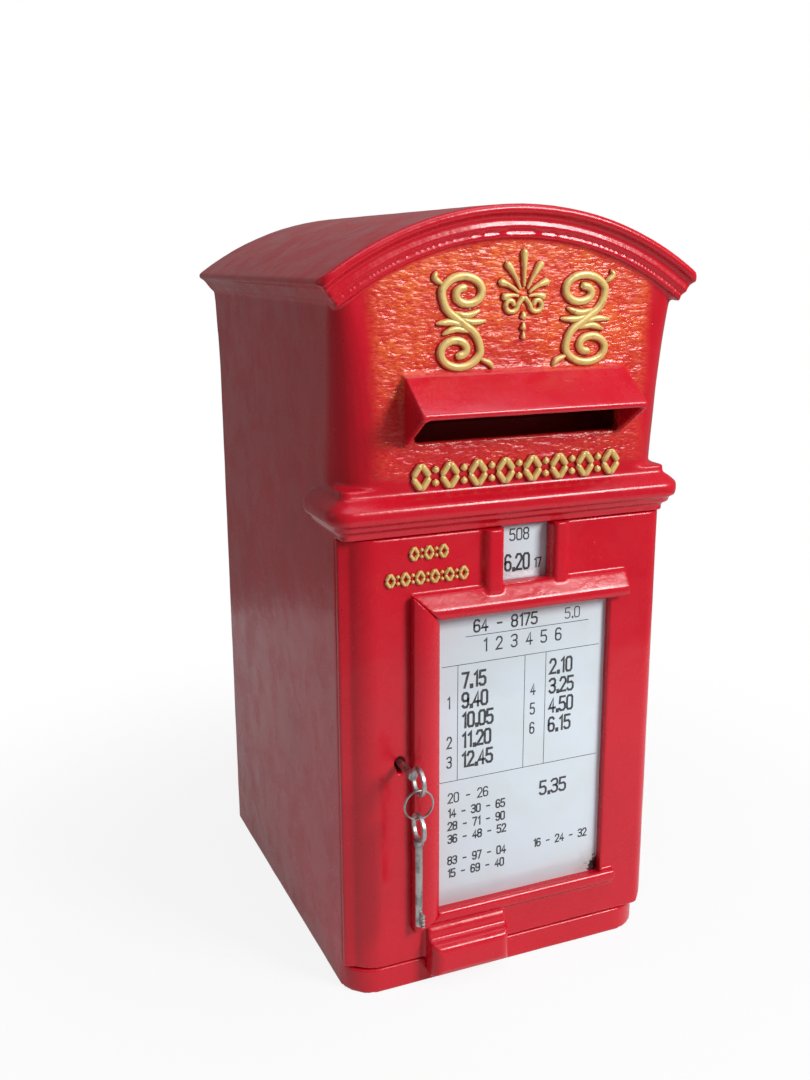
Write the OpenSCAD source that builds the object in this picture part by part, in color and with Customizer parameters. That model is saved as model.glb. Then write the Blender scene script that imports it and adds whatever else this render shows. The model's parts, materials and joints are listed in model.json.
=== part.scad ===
// Cast-iron letter and money box with a locking front door.
// X runs left to right seen from the front, the front faces -Y, Z is up, the origin is
// the centre of the footprint. Units are millimetres.

/* [Case] */
// Width over the side walls
case_w = 231; // [224:1:250]
// Depth from the front face to the back
case_d = 282; // [200:1:340]
// Height to the crown of the roof
case_h = 510; // [500:1:540]
// Thickness of the cast walls
wall = 7; // [6:0.5:8]
// Radius of the barrel roof
roof_r = 216; // [206:1:226]
// How far the arched front moulding stands out
eaves_out = 9; // [7:0.5:10]
// How far the eaves stand out past the side walls
eaves_side = 14; // [11:0.5:15]
// How far the side walls flare under the eaves
flare = 2.4; // [1:0.2:3]
// Depth of the arched front moulding
arch_depth = 20; // [16:1:24]

/* [Front] */
// Height of the sill under the door
sill_h = 17.5; // [16:0.5:20]
// Height of the underside of the string course
band_z = 313; // [311:1:316]
// Height of the string course
band_h = 31; // [26:1:34]
// How far the string course stands out
band_out = 9; // [6:0.5:10]
// Plan radius of the front corners at the waist
waist_r = 31; // [26:1:34]
// Plan radius of the front corners under the cornice
shoulder_r = 12; // [10:1:16]

/* [Hood and letter slot] */
// Width over the hood
hood_w = 154; // [140:1:160]
// How far the lip of the hood stands out
hood_out = 30; // [20:1:34]
// Height of the top of the hood on the wall
hood_z = 413; // [408:1:418]
// Fall of the hood from the wall to its lip
hood_fall = 22; // [14:1:28]
// Thickness of the hood and its cheeks
hood_t = 3.5; // [3:0.5:5]
// Height of the lower edge of the letter slot
slot_z = 370; // [366:1:374]
// Height of the letter slot
slot_h = 28; // [20:1:32]

/* [Door] */
// Thickness of the door
door_t = 8; // [7:0.5:9]
// Gap around the door
door_gap = 0.6; // [0.4:0.1:1]
// Plan radius of the door's rounded edges
door_edge_r = 21; // [18:1:23]
// Radius of the hinge barrel
barrel_r = 11.5; // [10.5:0.25:12]
// Radius of the hinge pins
hinge_pin_r = 3; // [2.5:0.25:3.5]
// Radial running clearance of the hinge pins
pin_play = 0.05; // [0.02:0.01:0.09]

/* [Notice window] */
// Width of the notice window
window_w = 128; // [110:1:134]
// Height of the notice window
window_h = 207.5; // [180:0.5:208]
// Height of the window's lower edge
window_z = 50.5; // [46:0.5:54]
// Left edge of the window
window_l = -52.5; // [-54:0.5:-50]
// Depth of the enamel plate behind the door's face
plate_y = 5.5; // [4:0.5:6]
// Thickness of the enamel plates
plate_t = 2; // [1:0.25:2.5]
// Width of the frame's strip and rails
frame_w = 17; // [14:1:18]
// How far the frame stands out
frame_out = 9; // [6:0.5:11]

/* [Number tablet] */
// Middle of the number tablet
tablet_x = 11.5; // [8:0.5:14]
// Width of the number tablet's window
tablet_w = 35; // [28:1:36]
// Height of the number tablet
tablet_h = 39; // [34:1:40]

/* [Lock and keys] */
// Keyhole centre left of the middle
key_x = -79; // [-80:0.5:-78]
// Height of the keyhole
key_z = 164; // [140:1:200]
// Radius of the key's shank
shank_r = 2.35; // [2:0.05:2.5]
// Reach of the key's bit from its axis
bit_r = 7.4; // [6.5:0.1:7.6]
// Outer radius of the key's bow
bow_r = 9.5; // [9:0.25:11]
// Length of a key
key_l = 78; // [70:1:82]
// Outer radius of the split ring
ring_r = 10.5; // [10:0.25:13]
// Wire radius of the split ring
wire_r = 0.9; // [0.7:0.05:1.1]
// Throw of the bolt
bolt_throw = 7; // [5:0.5:7]

/* [Hidden] */
$fn = 64;
e = 0.01;
fit = 0.3;

half_w = case_w / 2;
in_w = half_w - wall;
// Roof arc: centre height, half width at the eaves and height of its end.
arch_z = case_h - roof_r;
eaves_x = half_w + eaves_side;
nose_r = 2.5;
nose_x = eaves_x - nose_r;
nose_z = arch_z + sqrt(pow(roof_r - nose_r, 2) - pow(nose_x, 2));
eaves_a = asin(nose_x / (roof_r - nose_r));
eaves_h = 12;
flare_h = 65;
waist_z = band_z + band_h;
shoulder_z = nose_z - eaves_h;

// Hinge axis, measured from the middle and from the front face.
hinge_x = half_w - barrel_r;
hinge_y = barrel_r;
relief_r = barrel_r + door_gap;
wall_y = 15;
wall_y_right = 18;
door_l = -half_w;
door_z0 = sill_h + door_gap;
door_z1 = band_z - door_gap;
pin_l = 22;

// Plates
window_x0 = window_l;
window_x1 = window_l + window_w;
window_z1 = window_z + window_h;
rebate = 4;
backing_t = 3;
tablet_z = door_z1 - tablet_h;
tablet_y = door_t + fit;
rim_x = -half_w + 17.5;
rim_t = 5;
rim_y = 20;

// Lock: case, bolt and curtain behind the door.
case_x0 = rim_x + rim_t + 0.5;
case_x1 = key_x + 20;
case_z0 = key_z - 20;
case_z1 = key_z + 34;
lock_y = door_t;
lock_d = 20;
cap_t = 2;
plate_back = lock_y + lock_d - 2;
curtain_r = 5.6;
collar_r = 4.6;
sweep_r = bit_r + 1;
bolt_y = lock_y + 9;
bolt_t = 6;
bolt_h = 13;
bolt_head = 10.5;
bolt_tail = 2;
bolt_z = key_z + sweep_r - 2;
lever_t = 1.3;
pivot_x = case_x1 - 7;
pivot_z = key_z + 17;

// Keys and ring: the bow of the key in the lock, the ring and the spare below it.
bow_y = -30;
bow_hole_r = bow_r - 2.2;
bow_t = 2.5;
loose = 0.4;
ring_mid = ring_r - wire_r;
ring_top_z = key_z - bow_hole_r + wire_r + loose;
ring_z = ring_top_z - ring_mid;
ring_low_z = ring_z - ring_mid;
spare_z = ring_low_z + wire_r + loose - bow_hole_r;

// Places a piece whose Y counts from the front face.
module at_front() { translate([0, -case_d / 2, 0]) children(); }

// Box from its low corner to its high corner.
module box(a, b) { translate(a) cube(b - a); }

// Cylinder along +Y from y0 to y1.
module rod_y(x, z, y0, y1, r) { translate([x, y0, z]) rotate([-90, 0, 0]) cylinder(r = r, h = y1 - y0); }

// Cylinder along +X from x0 to x1.
module rod_x(y, z, x0, x1, r) { translate([x0, y, z]) rotate([0, 90, 0]) cylinder(r = r, h = x1 - x0); }

// Extrusion along +Y of an outline drawn in X and Z.
module along_y(y0, y1) { translate([0, y1, 0]) rotate([90, 0, 0]) linear_extrude(y1 - y0) children(); }

// Extrusion along +X of an outline drawn in Y and Z.
module along_x(x0, x1) {
    translate([x0, 0, 0]) rotate([90, 0, 90]) linear_extrude(x1 - x0) children();
}

// Countersunk screw along +Y: head flush at y0, shank to y1.
module screw_y(x, z, y0, y1, r) {
    rod_y(x, z, y0, y1, r);
    translate([x, y0, z]) rotate([-90, 0, 0]) cylinder(r1 = 2 * r, r2 = r, h = r);
}
module screw_hole_y(x, z, y0, y1, r) {
    rod_y(x, z, y0 - 1, y1 + 1, r + 0.1);
    translate([x, y0, z]) rotate([-90, 0, 0]) cylinder(r1 = 2 * r + 0.1, r2 = r + 0.1, h = r);
    rod_y(x, z, y0 - 30, y0, 2 * r + 0.1);
}

// ---------- Carcase ----------

// Outline of the roof with the rolled eaves, for a given drop from the outer surface.
module roof_outline(t) {
    intersection() {
        translate([0, arch_z]) circle(r = roof_r - t, $fn = 180);
        translate([-nose_x, nose_z]) square([2 * nose_x, case_h]);
    }
}

// Half width of the case at one height: upright, then flaring to the eaves.
function side_x(z) = half_w + flare * pow(max(0, min(1, (z - shoulder_z + flare_h) / flare_h)), 1.5);
flare_n = 6;
module side_outline() {
    z = [for (k = [0 : flare_n]) shoulder_z - flare_h + flare_h * k / flare_n];
    polygon(concat([[-half_w, 0], [half_w, 0]], [for (q = z) [side_x(q), q]],
        [[side_x(nose_z), nose_z + e], [-side_x(nose_z), nose_z + e]],
        [for (k = [flare_n : -1 : 0]) [-side_x(z[k]), z[k]]]));
}

// Section of the eaves moulding on the right side: small nose above an ogee.
ogee_n = 10;
module eaves_profile() {
    x0 = side_x(shoulder_z);
    w = nose_x + 1 - x0;
    h = nose_z - 2 - shoulder_z;
    polygon(concat([[x0 - wall, nose_z + e], [x0 - wall, shoulder_z - 1], [x0, shoulder_z - 1]],
        [for (k = [0 : ogee_n]) let (t = k / ogee_n)
            [x0 + w * t, shoulder_z + h * (t - 0.07 * sin(360 * t))]],
        [[nose_x, nose_z + e]]));
    translate([nose_x, nose_z]) circle(r = nose_r);
}
module case_outline() {
    side_outline();
    roof_outline(0);
    for (s = [0, 1]) mirror([s, 0]) eaves_profile();
}

// Plan outline of the upper front at one height: straight sides, rounded front corners.
function corner_r(z) = shoulder_r + (waist_r - shoulder_r)
    * pow(max(0, (shoulder_z - z) / (shoulder_z - waist_z)), 0.75);
corner_n = 8;
function plan_ring(z, r) = [for (s = [-1, 1], k = [0 : corner_n])
    let (a = s < 0 ? 90 * k / corner_n : 90 - 90 * k / corner_n)
    [s * (side_x(z) - r + r * cos(a)), r - r * sin(a), z]];
module upper_front() {
    levels = [for (k = [0 : 12]) waist_z + (nose_z - waist_z) * k / 12];
    depth = waist_r + 12;
    rings = [for (z = levels)
        concat([[-side_x(z), depth, z]], plan_ring(z, corner_r(z)), [[side_x(z), depth, z]])];
    n = len(rings[0]);
    m = len(rings);
    points = [for (r = rings, q = r) q];
    sides = [for (j = [0 : m - 2], i = [0 : n - 1])
        let (k = (i + 1) % n) [j * n + i, (j + 1) * n + i, (j + 1) * n + k, j * n + k]];
    polyhedron(points, concat(sides, [[for (i = [0 : n - 1]) i]],
        [[for (i = [n - 1 : -1 : 0]) (m - 1) * n + i]]));
}

// Moulding around the front arch: inner bead, hollow face and outer roll, its ends
// cut to the section of the side eaves.
module arch_moulding() {
    r1 = roof_r - nose_r;
    roll = 3;
    r0 = roof_r - arch_depth;
    a = asin(half_w / r0) + 4;
    intersection() {
        translate([0, 0, arch_z]) rotate([90, 0, 0])
            rotate_extrude(angle = 2 * a, start = 90 - a, $fn = 180) {
                polygon([[r0, -wall], [r0, 2], [r0 + 0.8, 3.6], [r0 + 2.6, 3.8], [r0 + 3.6, 2.8], [r0 + 4.4, 2],
                    [r0 + 5.2, 2.4], [r0 + 5.8, 4.6], [r0 + 7.4, 5.2], [r0 + 8.4, 4.2], [roof_r - 9, 3.9],
                    [roof_r - 7, 4.6], [roof_r - 5.8, 6.2], [roof_r - 5.4, eaves_out - 1.4],
                    [roof_r - roll, eaves_out - 1], [roof_r, eaves_out - roll], [roof_r, -wall]]);
                translate([roof_r - roll, eaves_out - roll]) circle(r = roll);
            }
        along_y(-eaves_out - 1, wall) case_outline();
        // Rounded in plan where front and side mouldings meet.
        hull() {
            for (s = [-1, 1]) translate([s * (eaves_x - 9), 9 - eaves_out, 0]) cylinder(r = 9, h = case_h + 10);
            translate([-eaves_x, 9, 0]) cube([2 * eaves_x, 9, case_h + 10]);
        }
    }
}

// Section of the string course: x is the distance out from the wall, y the height.
function band_p(x, z) = [x * band_out / 9, z * band_h / 31];
module band_profile(r) {
    translate([r, 0]) {
        polygon([[-4, 0], [-4, band_h], band_p(-2.6, 31), band_p(-1.1, 29.9), band_p(-0.4, 28.2), band_p(-0.3, 25.9),
            band_p(1.2, 25), band_p(4.2, 23.2), band_p(7.3, 20.6), band_p(8.6, 19.3), band_p(9, 18), band_p(9, 13.8),
            band_p(7.6, 12.4), band_p(6, 10.4), band_p(4.4, 9), band_p(3, 6.4), band_p(1, 5), band_p(-0.2, 4.2),
            band_p(-0.2, 0)]);
        translate(band_p(6.6, 12.2)) circle(r = 2);
        translate(band_p(2.7, 7.4)) circle(r = 1.7);
    }
}
band_r = 5;
band_back = 45;
module band_plan(r, out) {
    x = half_w + out;
    hull() {
        for (s = [-1, 1]) translate([s * (x - r), r - out]) circle(r = r);
        translate([-x, band_back - 2]) square([2 * x, 2]);
    }
}
module string_course() {
    x = half_w - band_r;
    translate([0, 0, band_z]) {
        linear_extrude(band_h) difference() {
            band_plan(band_r, -0.3);
            band_plan(waist_r - wall, -wall);
        }
        along_x(-x, x) mirror([1, 0]) band_profile(0);
        for (s = [0, 1]) mirror([s, 0, 0]) {
            translate([x, band_r, 0]) rotate_extrude(angle = 90, start = -90) band_profile(band_r);
            along_y(band_r, band_back) translate([half_w, 0]) band_profile(0);
            translate([half_w - 5, band_back, 0]) rotate_extrude(angle = 90)
                intersection() { band_profile(5); square([40, 60]); }
        }
    }
}

// Hood over the letter slot: sloping top with an upturned lip and two cheeks.
module hood() {
    drop = slot_z - 1;
    lip = [-hood_out, hood_z - hood_fall];
    side = [[2, hood_z], lip, lip - [0, hood_t], [-2, drop], [2, drop]];
    top = [[2, hood_z], [0, hood_z], lip, lip - [-1, hood_t], [0, hood_z - 1.6 * hood_t], [2, hood_z - 2 * hood_t]];
    along_x(-hood_w / 2 + 1, hood_w / 2 + 1) polygon(top);
    rod_x(lip[0] + hood_t / 2, lip[1] - hood_t / 2, -hood_w / 2 + 1, hood_w / 2 + 1, hood_t / 2);
    for (x = [-hood_w / 2 + 1, hood_w / 2 + 1 - hood_t]) along_x(x, x + hood_t) polygon(side);
}

// Plan of the cavity behind the fascia, its front corners rounded.
module cavity_plan() {
    r = waist_r - wall;
    hull() {
        for (s = [-1, 1]) translate([s * (in_w - r), wall + r]) circle(r = r);
        translate([-in_w, 50]) square([2 * in_w, 10]);
    }
}

module body_casting() {
    color([0.78, 0.09, 0.13]) at_front() {
        difference() {
            union() {
                // Walls and roof.
                along_y(waist_r + 10, case_d) difference() {
                    case_outline();
                    translate([-in_w, -1]) square([2 * in_w, shoulder_z - 2]);
                    intersection() {
                        translate([0, arch_z]) circle(r = roof_r - wall, $fn = 180);
                        translate([-in_w, 0]) square([2 * in_w, case_h]);
                    }
                }
                // Side walls beside the door.
                box([-half_w, wall_y, 0], [-in_w, waist_r + 11, waist_z]);
                box([in_w, wall_y_right, 0], [half_w, waist_r + 11, waist_z]);
                // Fascia and the arched head.
                difference() {
                    union() {
                        upper_front();
                        along_y(0, waist_r + 10) intersection() {
                            roof_outline(1);
                            translate([-half_w, 0]) square([case_w, case_h]);
                        }
                        along_y(5, waist_r + 10) difference() {
                            case_outline();
                            translate([-case_w, -1]) square([2 * case_w, shoulder_z]);
                        }
                    }
                    linear_extrude(shoulder_z - 2) cavity_plan();
                    along_y(wall, 60) intersection() {
                        translate([0, arch_z]) circle(r = roof_r - wall, $fn = 180);
                        translate([-in_w, shoulder_z - 3]) square([2 * in_w, case_h]);
                    }
                }
                arch_moulding();
                string_course();
                hood();
                // Boss behind the string course for the upper hinge pin.
                box([hinge_x - 9, wall - 1, band_z + 2], [in_w + 1, hinge_y + 9, band_z + 16]);
                // Sill with rounded corners.
                difference() {
                    box([-half_w, 0, 0], [half_w, sill_d, sill_h]);
                    box([-in_w + 20, wall + 3, -1], [in_w - 34, sill_d + 1, sill_h - wall]);
                }
                // Ledges that carry the floor, and bosses for the back plate.
                for (s = [0, 1]) mirror([s, 0, 0]) {
                    box([in_w - ledge_w, sill_d, floor_z + floor_t],
                        [in_w + 1, case_d - back_gap - back_t - 4, floor_z + floor_t + ledge_h]);
                    for (z = back_screw_z) box([in_w - 11, case_d - back_gap - back_t - 14, z - boss_half],
                        [in_w + 1, case_d - back_gap - back_t, z + boss_half]);
                }
            }
            // Rounded corners of the sill.
            corner_cut(-1, sill_l_r);
            corner_cut(1, sill_r_r);
            // Letter slot.
            box([-hood_w / 2 + 9, -1, slot_z], [hood_w / 2 - 1, wall + 1, slot_z + slot_h]);
            // Relief for the hinge barrel, and the bores of the two hinge pins.
            translate([hinge_x, hinge_y, sill_h]) cylinder(r = relief_r, h = band_z - sill_h);
            translate([hinge_x, hinge_y, -1]) cylinder(r = hinge_pin_r + 0.02, h = sill_h + 2);
            translate([hinge_x, hinge_y, -0.1]) cylinder(r = hinge_pin_r + 0.9, h = 2.1);
            translate([hinge_x, hinge_y, band_z - 1]) cylinder(r = hinge_pin_r + 0.02, h = 20);
            // Screw holes in ledges, bosses, keeper seat and baffle seat.
            for (s = [-1, 1]) {
                for (y = base_screw_y) translate([s * (in_w - ledge_w / 2 - 0.5), y, floor_z + floor_t - 1])
                    cylinder(r = 2.1, h = ledge_h + 2);
                for (z = back_screw_z) rod_y(s * (in_w - 5.5), z, case_d - back_gap - back_t - 13,
                    case_d - back_gap - back_t + 1, 2.1);
            }
            for (z = keeper_screw_z) translate([-in_w + 1, keeper_screw_y, z]) rotate([0, -90, 0])
                cylinder(r = 1.6, h = 6);
        }
        // Two lugs inside the fascia hold the letter baffle.
        for (s = [-1, 1]) difference() {
            box([s * baffle_x - 6, wall - e, baffle_z - 6], [s * baffle_x + 6, wall + baffle_off, baffle_z + 6]);
            rod_y(s * baffle_x, baffle_z, wall + 1, wall + baffle_off + 1, 2.1);
        }
    }
}

// Cuts a sill corner to a plan radius.
sill_l_r = 22;
sill_r_r = 26;
module corner_cut(s, r) {
    x = half_w - r;
    difference() {
        box([min(s * x, s * (half_w + 1)), -1, -1], [max(s * x, s * (half_w + 1)), r, sill_h]);
        translate([s * x, r, -2]) cylinder(r = r, h = sill_h + 3);
    }
}

sill_d = 24;
floor_z = 6;
floor_t = 6;
ledge_h = 8;
ledge_w = 9;
back_gap = 2;
back_t = 6;
boss_half = 7;
baffle_w = 94;
baffle_d = 40;
baffle_off = 8;
sheet_t = 1.5;
back_screw_top = shoulder_z - 25;
back_screw_z = [40, 20 + back_screw_top / 2, back_screw_top];
base_screw_y = [sill_d + 36, (sill_d + case_d) / 2 - 3, case_d - 42];
keeper_screw_z = [key_z + 2, key_z + 26];
keeper_screw_y = 40;
baffle_x = 88;
baffle_z = slot_z + 40;

// Arched back plate with four fixing holes for a wall or a post bracket.
module back_outline(gap) {
    translate([-in_w + gap, 6]) square([2 * (in_w - gap), arch_z - 6]);
    intersection() {
        translate([-in_w + gap, arch_z - 1]) square([2 * (in_w - gap), case_h]);
        translate([0, arch_z]) circle(r = roof_r - wall - gap, $fn = 180);
    }
}
fix_x = 140;
fix_z = 280;
fix_z0 = 120;
fix_r = 4.5;
module back_plate() {
    color([0.66, 0.08, 0.11]) at_front() difference() {
        union() {
            along_y(case_d - back_gap - back_t, case_d - back_gap) back_outline(fit);
            for (x = [-1, 1], z = [0, 1]) rod_y(x * fix_x / 2, fix_z0 + z * fix_z, case_d - back_gap - 1, case_d, 14);
            for (z = [fix_z0 + 60, fix_z0 + fix_z - 60])
                box([10 - fix_x / 2, case_d - back_gap - back_t - 6, z - 3],
                    [fix_x / 2 - 10, case_d - back_gap - back_t + 1, z + 3]);
        }
        for (x = [-1, 1], z = [0, 1]) rod_y(x * fix_x / 2, fix_z0 + z * fix_z, case_d - 20, case_d + 1, fix_r);
        for (s = [-1, 1], z = back_screw_z) mirror([0, 1, 0])
            screw_hole_y(s * (in_w - 5.5), z, back_gap - case_d, back_gap + back_t + 1 - case_d, 2);
    }
}
module back_screws() {
    color([0.35, 0.34, 0.33]) at_front() for (s = [-1, 1], z = back_screw_z) mirror([0, 1, 0])
        screw_y(s * (in_w - 5.5), z, back_gap - case_d, back_gap + back_t + 12 - case_d, 2);
}

module base_plate() {
    color([0.6, 0.08, 0.11]) at_front() difference() {
        union() {
            box([-in_w + fit, sill_d + 0.5, floor_z], [in_w - fit, case_d - back_gap - back_t - 0.5, floor_z + floor_t]);
            for (x = [-0.4, 0.4]) box([x * in_w - 3, sill_d + 6, floor_z + floor_t - 1],
                [x * in_w + 3, case_d - back_gap - back_t - 12, floor_z + floor_t + 5]);
        }
        for (s = [-1, 1], y = base_screw_y) translate([s * (in_w - ledge_w / 2 - 0.5), y, 0]) {
            cylinder(r = 2.1, h = 20);
            translate([0, 0, floor_z]) cylinder(r1 = 4.1, r2 = 2.1, h = 2);
        }
    }
}
module base_screws() {
    color([0.35, 0.34, 0.33]) at_front() for (s = [-1, 1], y = base_screw_y)
        translate([s * (in_w - ledge_w / 2 - 0.5), y, floor_z]) {
            cylinder(r = 2, h = floor_t + ledge_h - 1);
            cylinder(r1 = 4, r2 = 2, h = 2);
        }
}

// Bent sheet behind the slot: it steers letters down and stops a hand reaching in.
module letter_baffle() {
    y0 = wall + baffle_off;
    y1 = wall + baffle_d;
    t = sheet_t;
    drop = slot_z - 24;
    color([0.45, 0.44, 0.42]) at_front() difference() {
        union() {
            sheet = [[y0, baffle_z + 8], [y0 + t, baffle_z + 8], [y0 + t, baffle_z - 4], [y1, slot_z + 5],
                [y1, drop], [y1 - t, drop], [y1 - t, slot_z + 4.5], [y0, baffle_z - 5]];
            along_x(-baffle_w, baffle_w) polygon(sheet);
            for (x = [-baffle_w, baffle_w - t]) along_x(x, x + t) polygon([[y0 + 1, baffle_z - 4],
                [y1 - 1, slot_z + 5], [y1 - 1, drop], [y0 + 1, slot_z - 10]]);
        }
        for (s = [-1, 1]) rod_y(s * baffle_x, baffle_z, wall, y0 + 4, 2.1);
    }
}
module baffle_screws() {
    color([0.5, 0.48, 0.42]) at_front() for (s = [-1, 1]) {
        rod_y(s * baffle_x, baffle_z, wall + 2, wall + baffle_off + sheet_t, 2);
        rod_y(s * baffle_x, baffle_z, wall + baffle_off + sheet_t, wall + baffle_off + 4, 3.8);
    }
}

// ---------- Hinge and keeper ----------
module hinge_pin_upper() {
    color([0.55, 0.55, 0.55]) at_front() translate([hinge_x, hinge_y, door_z1 - pin_l]) {
        translate([0, 0, 1]) cylinder(r = hinge_pin_r, h = pin_l + 16);
        cylinder(r1 = hinge_pin_r - 1, r2 = hinge_pin_r, h = 1);
    }
}
module hinge_pin_lower() {
    color([0.55, 0.55, 0.55]) at_front() translate([hinge_x, hinge_y, 0.3]) {
        cylinder(r = hinge_pin_r + 0.8, h = 1.7);
        cylinder(r = hinge_pin_r, h = door_z0 + pin_l - 1);
        translate([0, 0, door_z0 + pin_l - 1]) cylinder(r1 = hinge_pin_r, r2 = hinge_pin_r - 1, h = 1);
    }
}
keeper_t = 2.5;
keeper_y = lock_y + 4.2;
module bolt_keeper() {
    z0 = keeper_screw_z[0] - 8;
    z1 = keeper_screw_z[1] + 8;
    color([0.5, 0.48, 0.42]) at_front() difference() {
        union() {
            box([-in_w, keeper_y, z0], [-in_w + keeper_t, keeper_screw_y + 8, z1]);
            box([-in_w, keeper_y, z0], [rim_x - 2, bolt_y - 0.4, z1]);
        }
        for (z = keeper_screw_z) translate([-in_w - 1, keeper_screw_y, z]) rotate([0, 90, 0]) {
            cylinder(r = 1.6, h = 5);
            translate([0, 0, keeper_t - 0.5]) cylinder(r1 = 1.6, r2 = 3.1, h = 1.5);
        }
    }
}
module keeper_screws() {
    color([0.6, 0.6, 0.6]) at_front() for (z = keeper_screw_z)
        translate([-in_w - 4.5, keeper_screw_y, z]) rotate([0, 90, 0]) {
            cylinder(r = 1.5, h = 4.5 + keeper_t);
            translate([0, 0, 3 + keeper_t]) cylinder(r1 = 1.5, r2 = 3, h = 1.5);
        }
}

// ---------- Door ----------

// Plan section of the door: flat face, rounded left edge with its fillet strip, and the
// barrel that turns in the case like a rule joint on the right.
module door_plan() {
    r = door_edge_r;
    lx = door_l + 23;
    difference() {
        union() {
            translate([lx, 0]) square([hinge_x - lx, door_t]);
            intersection() {
                translate([lx, r]) circle(r = r, $fn = 96);
                union() {
                    translate([door_l + 7, 0]) square([5, door_t + 3.4]);
                    translate([door_l + 11, 0]) square([20, door_t]);
                }
            }
            polygon([[door_l, 10.5], [door_l + 7.5, 7.4], [door_l + 9, door_t], [door_l + 9, door_t + 3.4],
                [door_l + wall, door_t + 3.4], [door_l + wall, wall_y - 0.5], [door_l, wall_y - 0.5]]);
            translate([hinge_x, hinge_y]) circle(r = barrel_r);
        }
        // Hollow behind the rounded edge.
        translate([door_l + 19, door_t]) square([hinge_x - barrel_r - 6 - door_l - 19, 30]);
    }
}

// Cross-sections of the frame around the notice window, drawn in Y and Z or X and Y.
module sill_section() {
    out = frame_out * 0.6;
    polygon([[0, 2], [-4, 2], [-out, 0], [-out, -5], [-1, -rail_low], [0, -rail_low]]);
}
rail_low = 9;
// Front outline of the retaining strip, mitred into the rails, grown by a gap.
module strip_outline(gap) {
    x0 = strip_x0;
    x1 = strip_x0 + frame_w;
    polygon([[x0 - gap, window_z - rail_low - 2 * gap], [x1 + gap, window_z - gap], [x1 + gap, window_z1],
        [x0 - gap, window_z1 + frame_w + gap]]);
}
module rail_section(h) {
    polygon([[0, 0], [-frame_out * 0.75, 0], [-frame_out, 2.5], [-frame_out, h - 10], [-2.5, h], [0, h]]);
}
strip_x0 = window_x0 - 2 - frame_w;
module strip_section() {
    intersection() {
        translate([strip_x0, -frame_out]) square([frame_w, frame_out]);
        translate([strip_x0 + frame_w / 2, frame_out - 4]) circle(r = 2 * frame_out - 4);
    }
    translate([strip_x0 + 1.5, -frame_out + 5]) square([frame_w - 3, frame_out - 5]);
}
lug_x0 = -61;
lug_w = 58;
lug_out = 15;
lug_z = 8;
lug_h = 34.5;
// Pull lug: block with a rounded top under a small ledge, its ends rounded in plan.
module pull_lug() {
    r = 8;
    o = -lug_out;
    difference() {
        intersection() {
            along_x(lug_x0, lug_x0 + lug_w) translate([0, lug_z]) polygon([[1, 0], [o + 6, 0], [o + 2, 2.5],
                [o, 6.5], [o, lug_h - 16.5], [o + 1.2, lug_h - 12.5], [o + 4, lug_h - 10], [-7.5, lug_h - 9],
                [-6, lug_h - 7.5], [-5.5, lug_h - 3.5], [-4, lug_h - 1], [-1, lug_h], [1, lug_h]]);
            hull() {
                for (x = [lug_x0 + r, lug_x0 + lug_w - r]) translate([x, r - lug_out, 0]) cylinder(r = r, h = 60);
                box([lug_x0, 0, 0], [lug_x0 + lug_w, 2, 60]);
            }
        }
        box([lug_x0 - 1, -0.5, 0], [lug_x0 + lug_w + 1, 2, door_z0]);
    }
}

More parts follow.
